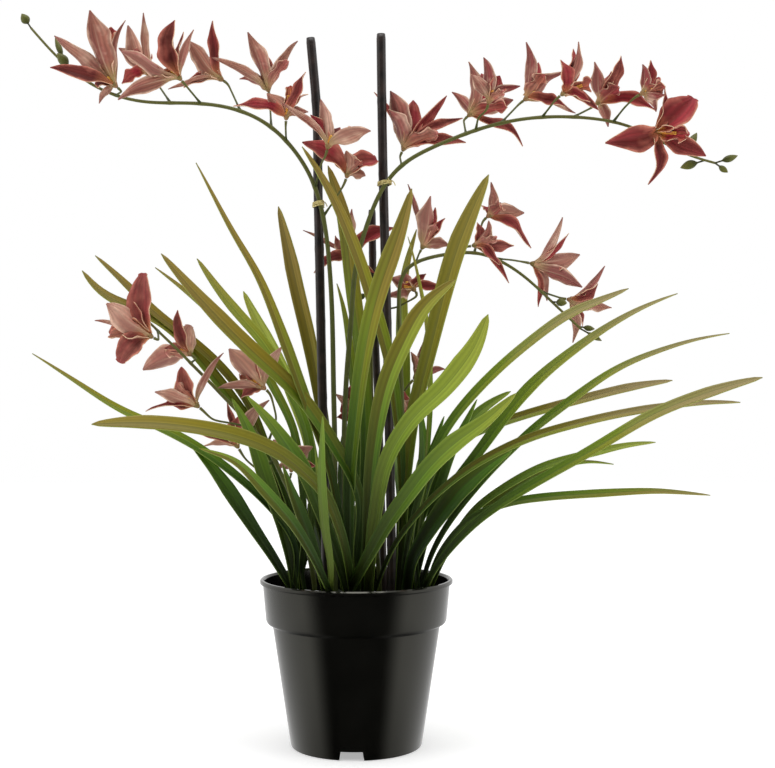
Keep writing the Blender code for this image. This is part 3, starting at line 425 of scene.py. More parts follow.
def makePot(p):
    wall, under, top = p["wall"], p["floorUnderZ"], p["rimHeight"]
    foot, body, band, high, lip = [
        p[key + "Radius"] for key in ("foot", "bodyTop", "bandFoot", "bandTop", "rim")]
    profile = [
        (0, 0), (p["padRadius"], 0), (p["padRadius"], under), (foot - 2.6, under), (foot - 3.2, 0),
        (foot - 0.6, 0), (foot, 1.4), (body, p["bodyTopZ"]), (band - 1.2, p["bandFootZ"] - 2.6),
        (band, p["bandFootZ"]), (high, top - 5.2), (lip, top - 3.6), (lip, top - 1.2), (lip - 1.2, top),
        (high - 0.4, top), (high - wall, top - 2.0), (band - wall, p["bandFootZ"] + 0.6),
        (body - wall, p["bodyTopZ"] + 0.8), (foot - 0.4, under + 4.0), (foot - 2.0, under + wall),
        (0, under + wall),
    ]
    bm = newMesh()
    points = [bm.verts.new((radius * mm, 0, z * mm)) for radius, z in profile]
    edges = [bm.edges.new(pair) for pair in zip(points, points[1:])]
    bmesh.ops.spin(bm, geom=points + edges, cent=(0, 0, 0), axis=(0, 0, 1), angle=tau, steps=p["sides"],
                   use_merge=True)
    bmesh.ops.remove_doubles(bm, verts=bm.verts, dist=oneCorner)
    bmesh.ops.recalc_face_normals(bm, faces=bm.faces)
    for face in bm.faces:
        face.smooth = True
    pot = finished("potShell", bm, [potBlack], "pot")
    # the drain notches in the foot ring
    cutter = newMesh()
    for i in range(p["notches"]):
        block = bmesh.ops.create_cube(cutter, size=1)["verts"]
        for vert in block:
            wide, z = (p["notchTop"], p["notchHeight"]) if vert.co.z > 0 else (p["notchFoot"], -1)
            vert.co = at(foot + p["notchDepth"] * vert.co.x, wide * vert.co.y, z)
        turn = Matrix.Rotation(radians(p["notchTurn"]) + tau * i / p["notches"], 4, "Z")
        bmesh.ops.transform(cutter, matrix=turn, verts=block)
    block = meshObject("notchCutter", cutter)
    cut = pot.modifiers.new("notches", "BOOLEAN")
    cut.operation = "DIFFERENCE"
    cut.object = block
    cut.solver = "EXACT"
    graph = bpy.context.evaluated_depsgraph_get()
    pot.data = bpy.data.meshes.new_from_object(pot.evaluated_get(graph))
    pot.modifiers.clear()
    bpy.data.objects.remove(block)
    edge = pot.modifiers.new("softEdges", "BEVEL")
    edge.width = p["softEdge"] * mm
    edge.segments = 2
    edge.limit_method = "ANGLE"
    edge.angle_limit = radians(p["softAngle"])
    edge.harden_normals = True


makePot(potSizes)
print("pot made")

soilSizes = {"edgeZ": 140.0, "middleZ": 143.0, "edgeRadius": 88.4, "spokes": 96, "rings": 40,
             "lumps": [(9, 1.8, 0), (3, 0.8, 7)],  # how wide, how high, and at which level of the noise
             "skirt": [(87.0, 127.0), (81.0, 120.0), (66.0, 20.0)],
             "chips": 900, "chipSize": (1.6, 4.2), "chipShape": (1.5, 0.9, 0.55, 1),
             "chipLift": (-0.6, 0.9), "chipRagged": (0.75, 1.2), "chipEdge": 4}


def makeSoil(p):
    rng = random.Random(11)
    bm = newMesh()
    radius, rings = p["edgeRadius"], p["rings"]

    def spot(reach, angle, lift=0.0):
        # a point of the low dome, in millimetres
        high = p["middleZ"] + (p["edgeZ"] - p["middleZ"]) * (reach / radius) ** 2
        return Vector((reach * cos(angle), reach * sin(angle), high + lift))

    def place(u, k):
        point = spot(radius * sqrt(k / rings), tau * u)
        if k < rings:
            point.z += sum(noise.noise(Vector((point.x, point.y, level)) / wide) * high
                           for wide, high, level in p["lumps"])
        return point * mm

    made = lay(bm, p["spokes"], rings, place)
    bmesh.ops.remove_doubles(bm, verts=made, dist=oneCorner)
    rim = [edge for edge in bm.edges if len(edge.link_faces) == 1]
    for reach, z in p["skirt"]:
        skirt = bmesh.ops.extrude_edge_only(bm, edges=rim)["geom"]
        rim = [g for g in skirt if isinstance(g, bmesh.types.BMEdge) and len(g.link_faces) == 1]
        for vert in [g for g in skirt if isinstance(g, bmesh.types.BMVert)]:
            out = Vector((vert.co.x, vert.co.y, 0)).normalized() * reach
            vert.co = at(out.x, out.y, z)
    bmesh.ops.holes_fill(bm, edges=[edge for edge in bm.edges if len(edge.link_faces) == 1], sides=0)
    bmesh.ops.recalc_face_normals(bm, faces=bm.faces)
    for _ in range(p["chips"]):
        reach = (radius - p["chipEdge"]) * sqrt(rng.random())
        angle = rng.uniform(0, tau)
        size = rng.uniform(*p["chipSize"])
        chip = bmesh.ops.create_icosphere(bm, subdivisions=1, radius=size * mm / 2)["verts"]
        for vert in chip:
            vert.co *= rng.uniform(*p["chipRagged"])
        axis = Vector([rng.gauss(0, 1) for _ in range(3)]).normalized()
        turn = Matrix.Rotation(rng.uniform(0, tau), 4, axis)
        shift = Matrix.Translation(spot(reach, angle, rng.uniform(*p["chipLift"])) * mm)
        bmesh.ops.transform(bm, matrix=shift @ turn @ Matrix.Diagonal(p["chipShape"]), verts=chip)
        for face in facesOf(chip):
            face.material_index = rng.choice((0, 1, 1))
    finished("soilTop", bm, [soilDark, barkBrown], "soil")


makeSoil(soilSizes)
print("soil made")

# canes: radius, (across, down, depth) from the top to the soil, and the foot's x and y
canePlaces = {
    "cane_left": (4.8, [(310.5, 38, 6), (317.5, 114, 6), (318, 190, 6), (321, 330, 6), (323, 420, 6)],
                  (-30.5, 6)),
    "cane_right": (4.8, [(381, 34, 6), (382, 114, 6), (383.5, 196, 6), (387, 321, 6), (389, 420, 6)],
                   (35.5, 6)),
    "cane_back": (4.0, [(372, 210, 50), (373, 283, 50), (377, 380, 50), (380, 450, 50)], (26.5, 50)),
}
caneForm = {"footZ": 34.0, "straightTo": 170.0, "stations": 150, "sides": 20, "ringGap": 74.0,
            "ringFrom": 20, "ringWide": 3.0, "ringRise": 0.05, "slim": 0.03, "topShare": 0.9,
            "flutes": 5, "fluteRise": 0.012}


def barLine(foot, line, p, count, passes):
    # upright out of the soil, then through the points drawn
    start = [at(*foot, z) for z in (p["footZ"], p["straightTo"])]
    return smooth(start + [drawn(*point) for point in line], count, passes)


def caneLine(name, count):
    _, line, foot = canePlaces[name]
    return barLine(foot, line[::-1], caneForm, count, count // 5)


def makeCane(name, p):
    radius = canePlaces[name][0]
    path = caneLine(name, p["stations"])
    length = lengthOf(path) / mm
    radii = []
    for k in range(p["stations"]):
        reach = length * k / (p["stations"] - 1)
        off = abs((reach + p["ringFrom"]) % p["ringGap"] - p["ringGap"] / 2)
        ring = p["ringRise"] * exp(-(off / p["ringWide"]) ** 2)
        radii.append(radius * (1 + ring - p["slim"]))
    radii[-1] *= p["topShare"]
    bm = newMesh()
    tube(bm, path, radii, p["sides"],
         lobes=lambda angle, k: 1 + p["fluteRise"] * sin(p["flutes"] * angle + k / 9))
    finished(name + "Bar", bm, [caneDark], name)


for name in canePlaces:
    makeCane(name, caneForm)
print("canes made")

# leaf shoots: foot (x, lean), then each leaf: seen width, share of its length that its tip tapers over,
# turn of its face in degrees, own lean or None, how olive it is towards its tip, how pale all along (partly
# painted light shining through), and its line from the foot to the tip. A turn of None lays the blade
# across, for leaves that run in depth.
leafShoots = {
    "shoot_01": (-23, -46, [
        (10, 0.3, 35, -66, 0.35, 0.1, [(313, 556), (294, 524), (262, 488), (236, 459), (199, 448)]),
        (9, 0.3, -30, -58, 0.15, 0.1, [(330, 560), (324, 528), (321, 480), (322, 449), (323, 416)]),
        (10, 0.3, 35, -50, 0.3, 0.1, [(316, 556), (303, 520), (292, 492), (283, 465)]),
    ]),
    "shoot_02": (-6, -38, [
        (14, 0.13, 30, -48, 0.85, 0.25, [(345, 545), (326, 491), (280, 451), (236, 434), (186, 425),
            (136, 421), (91, 424)]),
        (15, 0.3, 35, None, 0.35, 0.2, [(338, 560), (317, 505), (305, 472), (290, 450), (270, 421),
            (247, 396)]),
        (19, 0.26, -30, -52, 0.25, 0.3, [(366, 562), (389, 521), (429, 467), (456, 441), (486, 422),
            (516, 393)]),
    ]),
    "shoot_03": (13, -30, [
        (18, 0.16, -25, None, 0.3, 0.2, [(368, 540), (371, 472), (377, 426), (385, 386), (398, 353),
            (409, 333), (420, 307), (440, 291), (456, 279)]),
        (20, 0.16, -30, -36, 0.25, 0.8, [(373, 536), (384, 466), (396, 441), (419, 409), (440, 395),
            (456, 374), (476, 349), (488, 314)]),
        (7.5, 0.2, -40, None, 0.55, 0.1, [(392, 545), (430, 499), (468, 468), (493, 454), (531, 436),
            (569, 426), (607, 416), (657, 407), (707, 401), (741, 402)]),
    ]),
    "shoot_04": (66, -21, [
        (9.5, 0.12, -40, -34, 0.5, 0.2, [(437, 563), (478, 519), (506, 501), (544, 478), (589, 453),
            (619, 434), (657, 411), (695, 397), (733, 384), (763, 377)]),
        (7.5, 0.3, -35, -30, 0.6, 0.2, [(437, 555), (468, 517), (511, 501), (556, 496), (607, 493),
            (657, 490), (711, 495)]),
    ]),
    "shoot_05": (-58, -26, [
        (13, 0.3, 30, None, 0.2, 0.1, [(272, 556), (257, 534), (231, 494), (213, 468), (190, 443)]),
        (14, 0.3, 35, None, 0.3, 0.3, [(290, 560), (280, 520), (264, 476), (250, 432), (232, 398)]),
        (8.5, 0.42, 35, None, 0.4, 0.0, [(300, 545), (271, 507), (240, 478), (202, 449), (169, 431),
            (118, 409.5), (69, 376.5), (32, 353)]),
    ]),
    "shoot_06": (-4, -24, [
        (15, 0.2, 30, None, 0.75, 0.1, [(356, 540), (364, 500), (353, 477), (339, 453), (322, 426),
            (301, 395), (266, 364), (234, 334), (208.5, 307), (182, 278.5), (161, 253)]),
        (18, 0.17, -25, None, 0.55, 0.1, [(350, 540), (350, 472), (355, 426), (360, 380), (368, 333),
            (375, 303), (384, 275), (393, 252), (405, 217), (411.7, 188)]),
        (10, 0.42, 40, None, 0.6, 0.1, [(343, 540), (330, 465), (311, 417), (288.5, 353.5), (272.5, 310),
            (258, 271), (236, 240), (216, 200), (196, 162)]),
    ]),
    "shoot_07": (47, -17, [
        (9, 0.16, -35, None, 0.4, 0.2, [(408, 540), (430, 459), (450, 421), (476, 391), (506, 361),
            (541, 333), (571, 310), (602, 300), (629, 288)]),
        (11.5, 0.42, -35, None, 0.35, 0.2, [(415, 550), (445, 495), (481, 451), (508, 412), (538, 378),
            (570, 352.5), (607, 326), (644, 305), (678, 293)]),
        (20, 0.3, -35, -24, 0.1, 0.0, [(412, 560), (434, 524), (461, 488), (487, 466), (512, 450)]),
    ]),
    "shoot_08": (-54, -6, [
        (8, 0.16, 35, None, 0.7, 0.1, [(296, 540), (275, 470), (251, 405), (230, 375), (195, 341.5),
            (171, 326), (153.5, 312.5), (129, 286), (95, 255)]),
        (10, 0.14, 35, None, 0.6, 0.2, [(298, 530), (270, 450), (230, 396), (205, 365), (181, 335),
            (153, 314), (111, 301), (92, 289), (82, 270)]),
        (8, 0.3, 35, -9, 0.5, 0.2, [(305, 520), (296, 430), (262, 366), (225, 325), (188, 292),
            (155, 267)]),
        (10, 0.16, 35, None, 0.3, 0.3, [(312, 530), (310, 441), (301, 412), (284, 378), (266, 343),
            (239, 316), (213, 283), (197, 258)]),
    ]),
    "shoot_09": (44, -8, [
        (12, 0.22, 30, None, 0.5, 0.1, [(402, 520), (400, 440), (391, 364), (383, 336), (370, 295),
            (361, 263), (352, 240), (340, 212), (332, 192), (316, 166), (302, 146)]),
        (18, 0.16, -35, None, 0.75, 0.35, [(404, 500), (414, 410), (423, 382), (435, 332), (445, 291),
            (456, 250), (473, 208), (488.7, 174)]),
        (9, 0.3, -30, None, 0.2, 0.1, [(412, 520), (426, 470), (436, 440), (444, 416)]),
    ]),
    "shoot_10": (-17, 12, [
        (14, 0.16, -30, None, 0.7, 0.1, [(332, 520), (328, 440), (316, 369), (308, 329), (300, 300),
            (288, 245), (278, 206)]),
        (13, 0.16, -30, 22, 0.1, 1.3, [(326, 520), (308, 430), (280, 360), (266, 336), (251, 309),
            (243, 291)]),
        (9, 0.3, -30, None, 0.2, 0.1, [(322, 530), (306, 480), (296, 450), (290, 422)]),
        (9, 0.3, -30, 8, 0.2, 0.1, [(322, 560), (316, 540), (311, 522), (308, 503)]),
    ]),
    "shoot_11": (5, 18, [
        (15, 0.16, 30, 3, 0.5, 0.1, [(362, 520), (366, 430), (363, 370), (358, 330), (352, 292), (348, 247),
            (345, 217), (336, 189), (328, 165)]),
        (9, 0.3, 30, None, 0.3, 0.1, [(358, 500), (356, 400), (348, 330), (342, 298), (337, 283)]),
        (8, 0.3, 30, 14, 0.2, 0.1, [(350, 530), (343, 500), (341, 470), (342, 436)]),
    ]),
    "shoot_12": (54, 11, [
        (13, 0.3, 30, None, 0.3, 0.3, [(408, 540), (405, 480), (403, 400), (402, 340), (401, 300),
            (405, 266), (417, 229)]),
        (5, 0.3, 20, 2, 0.3, 0.4, [(424, 500), (431, 400), (428, 322), (421, 291), (415, 259), (408, 236)]),
        (9, 0.3, -30, None, 0.2, 0.1, [(430, 520), (452, 450), (466, 422), (477, 399)]),
        (11, 0.3, 30, 8, 0.3, 0.1, [(412, 540), (421, 486), (424, 446), (420, 404)]),
    ]),
    "shoot_13": (67, -7, [
        (8, 0.42, -40, None, 0.4, 0.1, [(427, 560), (449, 521), (489, 472), (538, 424), (561, 409),
            (589, 386), (622, 364), (657, 351), (695, 338), (730, 333)]),
        (7, 0.2, -35, -12, 0.3, 0.4, [(440, 558), (474, 508), (506, 486), (541, 466), (566, 459),
            (594, 453), (627, 444), (656, 442)]),
        (7, 0.42, -40, None, 0.3, 0.3, [(446, 552), (490, 505), (525, 480), (556, 467), (586, 460),
            (614, 464)]),
    ]),
    "shoot_14": (50, 28, [
        (8, 0.12, -35, None, 0.5, 0.1, [(414, 540), (432, 468), (452, 444), (481, 430), (518, 417),
            (556, 406), (594, 396), (632, 386), (673, 380)]),
        (9, 0.16, -30, None, 0.3, 0.1, [(414, 540), (440, 470), (468, 422), (488, 404), (511, 391)]),
        (14, 0.42, None, None, 0.5, 0.1, [(410, 540, 62), (420, 480, 104), (428, 446, 165),
            (434, 444, 225)]),
        (14, 0.42, None, None, 0.4, 0.2, [(404, 530, 60), (400, 470, 95), (398, 444, 150),
            (400, 450, 235)]),
    ]),
    "shoot_15": (-12, 42, [
        (14, 0.42, None, None, 0.4, 0.1, [(336, 540, 64), (322, 485, 105), (308, 458, 165),
            (296, 462, 235)]),
        (14, 0.42, None, None, 0.5, 0.1, [(346, 535, 66), (348, 470, 112), (350, 440, 175),
            (352, 446, 260)]),
        (13, 0.42, None, None, 0.4, 0.2, [(352, 540, 62), (368, 475, 100), (382, 446, 160),
            (392, 450, 220)]),
    ]),
}
leafForm = {
    "stations": 56, "across": 10, "thick": 1.0, "relax": 14, "tipShort": 0.06,
    "base": [(124.0, 0.0), (124.5, 0.96), (138.0, 0.98), (146.0, 0.96), (151.0, 0.6), (152.0, 0.0)],
    # the base's share of the leaf colours picks their dark, painted shade end
    "baseSides": 20, "baseWidth": 8.0, "baseDepth": 5.0, "baseShadeShare": 0.12,
    "leafFootZ": 149.0, "leafApart": 3.6, "leafBehind": 1.4, "faceTo": (0, -0.5, 1),
    "fold": 0.26, "foldPower": 1.15, "wave": 0.04, "waves": 9, "pleat": 0.012, "pleats": 9, "least": 0.02,
    "fullLength": 390.0, "dryBeyond": 560.0, "dryness": 0.6,
}


def leafWidth(share, taper, width):
    # tapered towards the tip, and narrow at the foot, a broad leaf more so
    return min(1, ((1 - share) / taper) ** (0.4 + 0.75 * taper), 0.4 + (1.35 - 0.03 * width) * share)


def bladeFrames(path, turn, faceTo):
    # for each point the blade's way across and the side it faces, kept from flipping over
    frames = []
    for tangent in tangents(path):
        if turn is None:
            wide = (Vector((1, 0, 0)) - tangent * tangent.x).normalized()
        else:
            flat = tangent.cross(Vector((0, 1, 0))).normalized()
            wide = flat * cos(turn) + tangent.cross(flat) * sin(turn)
        if frames and wide.dot(frames[-1][0]) < 0:
            wide = -wide
        frames.append((wide, tangent.cross(wide)))
    facing = copysign(1, sum(up.dot(faceTo) for _, up in frames))
    return [(wide, up * facing) for wide, up in frames]


def thicken(bm, made, thick, slots, under, nearest, up):
    # gives a laid sheet its thickness behind the side that faces up: that side, the other one and the rim
    first = facesOf(made)
    keep = set(made)
    bm.normal_update()
    middle = min(first, key=lambda face: (face.calc_center_median() - nearest).length)
    if middle.normal.dot(up) < 0:
        bmesh.ops.reverse_faces(bm, faces=list(first))
        bm.normal_update()
    bmesh.ops.solidify(bm, geom=list(first), thickness=thick * mm)
    bm.faces.ensure_lookup_table()
    shell = set(first)
    fringe = list(first)
    while fringe:
        near = {face for edge in fringe.pop().edges for face in edge.link_faces} - shell
        shell |= near
        fringe.extend(near)
    for face in shell:
        face.smooth = True
        old = sum(vert in keep for vert in face.verts)
        face.material_index = slots[0] if face in first else slots[1] if old == 0 else slots[2]
        if face not in first and old == 0:
            for vert in face.verts:
                vert[under] = 1.0
    bmesh.ops.recalc_face_normals(bm, faces=list(shell))


def makeShoot(name, p):
    rng = random.Random(name)
    footX, lean, leaves = leafShoots[name]
    footY = lean * spread(sheet["axisAcross"] + footX, sheet["spreadDown"])
    bm = newMesh()
    under, *layers = layersOf(bm, "under", "olive", "shade", "half", "dry", "reach")
    # the short base that the leaves come out of
    path = [at(footX, footY, z) for z, _ in p["base"]]
    base = tube(bm, path, [swell for _, swell in p["base"]], p["baseSides"])
    # the base is given only the darkest end of the leaf colours: painted shade at the soil
    layer = bm.loops.layers.uv["along"]
    for face in base:
        for loop in face.loops:
            loop[layer].uv.y *= p["baseShadeShare"]
    for vert in {vert for face in base for vert in face.verts}:
        vert[layers[-1]] = 1.0
        vert.co.x = (footX + (vert.co.x / mm - footX) * p["baseWidth"]) * mm
        vert.co.y = (footY + (vert.co.y / mm - footY) * p["baseDepth"]) * mm
    # the pale tone is partly the leaf's own paler colour, partly painted light shining through
    for i, (width, taper, turn, ownLean, oliveTone, paleAndBacklitTone, line) in enumerate(leaves):
        apart = (i - 1) * (-1 if footX < 0 else 1)
        points = [at(footX + p["leafApart"] * apart, footY - p["leafBehind"] * apart, p["leafFootZ"])]
        for across, down, *depth in line:
            depth = depth[0] if depth else (ownLean or lean) * spread(across, down)
            points.append(drawn(across, down, depth))
        path = smooth(points, p["stations"] + 1, p["relax"])
        path[-1] = path[-1].lerp(path[-2], p["tipShort"])  # the blunt tip ends where the solid's point does
        seen = cos(radians(turn or 0))
        frames = bladeFrames(path, None if turn is None else radians(turn), Vector(p["faceTo"]))
        phase = rng.uniform(0, tau)
        length = lengthOf(path) / mm

        def place(u, k):
            t = k / p["stations"]
            wide = width * max(p["least"], leafWidth(t, taper, width)) * growth(path[k].y / mm) / seen * mm
            across, up = frames[k]
            out = 2 * u - 1
            lift = p["fold"] * (1.3 - t) * abs(out) ** p["foldPower"]
            lift += p["wave"] * out * sin(p["waves"] * t + phase)
            lift += p["pleat"] * cos(p["pleats"] * out)
            return path[k] + across * out * wide / 2 + up * lift * wide

        made = lay(bm, p["across"], p["stations"], place)
        bleached = p["dryness"] if line[-1][0] > p["dryBeyond"] else 0.0  # the tips of the far leaves
        side = rng.choice((-1.0, 1.0))
        colours = min(1.0, length / p["fullLength"])
        for vert in made:
            for layer, tone in zip(layers, (oliveTone, paleAndBacklitTone, side, bleached, colours)):
                vert[layer] = tone
        half = p["stations"] // 2
        thicken(bm, made, p["thick"], (0, 0, 0), under, path[half], frames[half][1])
    finished(name + "Leaves", bm, [leafGreen], name)


for name in leafShoots:
    makeShoot(name, leafForm)
print("leaf shoots made")

# flower stems: radius at the foot and the tip, foot (x, y), line (across, down, depth) from foot to tip,
# and the buds: where the stalk leaves, the bud's tip, its width and its depth
flowerStems = {
    "stem_upper_left": (2.9, 1.2, (-21.5, -3), [(335, 438, -3), (333.7, 403, -3), (333, 346, -3),
        (332, 300, -3), (327, 230, -3), (321, 205, -3), (318, 189, -4), (312, 174, -5), (301, 157, -6),
        (287, 139, -8), (273, 125, -9), (257, 115, -10), (232, 106, -12), (199, 102, -13), (166, 103, -14),
        (149, 104.5, -15), (133, 102.5, -15), (116, 97, -15), (99.5, 91, -15), (83, 81, -14), (68, 69, -13),
        (43, 43, -12), (31, 28, -12)],
        [((32, 29), (21.6, 13.5), 9, -12), ((76, 75), (57, 53), 10, -20), ((66, 67), (55, 37), 6, -4)]),
    "stem_upper_right": (2.9, 1.2, (-11.5, -3), [(344.6, 472, -3), (343.5, 449, -3), (344.6, 415, -3),
        (345.8, 380, -3), (349, 346, -3), (352, 311, -3), (354, 263, -3), (363.5, 235, -3), (369, 217, -3),
        (375, 199, -3), (381, 187, -3), (387.6, 178, -3), (394, 165, -5), (411, 156, -7), (435, 146, -8),
        (452, 139, -9), (474, 129, -10), (498.5, 123, -10), (525, 117, -11), (549, 116, -12),
        (576, 116, -12), (603, 119, -12), (625, 122, -4), (645, 132, 2), (665, 142, -2), (680, 155, -4),
        (700, 161, -6), (715, 163, -6)],
        [((715, 163), (738, 155.5), 7, -6), ((712, 163), (728, 172.5), 6, -14), ((702, 160),
        (680, 168), 9, 2), ((683, 155), (697, 132.5), 8, 4)]),
    "stem_right": (2.8, 1.2, (47.5, 3), [(404, 500, 5), (402, 400, 8), (399, 320, 12), (398, 280, 14),
        (403, 264, 16), (420, 259.5, 17), (440, 254.5, 18), (456, 253, 19), (473, 249.5, 20),
        (489.5, 254.5, 20), (506, 263, 21), (523, 274, 22), (539, 289, 23), (556, 306, 24), (572, 321, 25),
        (581, 329, 25)],
        [((579, 327), (595, 329), 6, 25), ((584, 330), (602, 341), 6, 20), ((552, 302), (567, 303), 8, 8)]),
    "stem_left": (2.6, 1.2, (-40, -26), [(306, 540, -38), (290, 492, -42), (266, 443, -48), (249, 426, -52),
        (241, 414, -53), (223.5, 397, -55), (206, 378, -57), (191, 364, -58), (180.5, 352, -59),
        (163, 336, -60), (151, 324, -60)],
        [((151, 324), (144, 314), 6, -52)]),
    "stem_back": (2.6, 1.4, (23, 16), [(374, 520, 22), (372, 430, 26), (371, 350, 28), (370, 300, 30),
        (366, 276, 32), (358, 264, 34)],
        [((368, 290), (358, 300), 6, 34)]),
}
stemForm = {
    "footZ": 104.0, "straightTo": 163.0, "stations": 160, "sides": 14, "taper": 1.4,
    "nodeRise": 0.16, "nodeWide": 0.9,
    "pedicel": 1.1, "pedicelFoot": 1.5, "pedicelSlim": 0.6, "slimSteps": 6, "neckRise": 0.5,
    "pedicelSteps": 23, "pedicelSides": 10,
    "budSteps": 20, "budSides": 14, "budShort": 0.995, "stalkShare": 0.3, "stalkSteps": 8, "stalk": 0.85,
    "budTip": 0.1, "budPower": 0.85, "ridges": 3, "ridgeRise": 0.08,
}

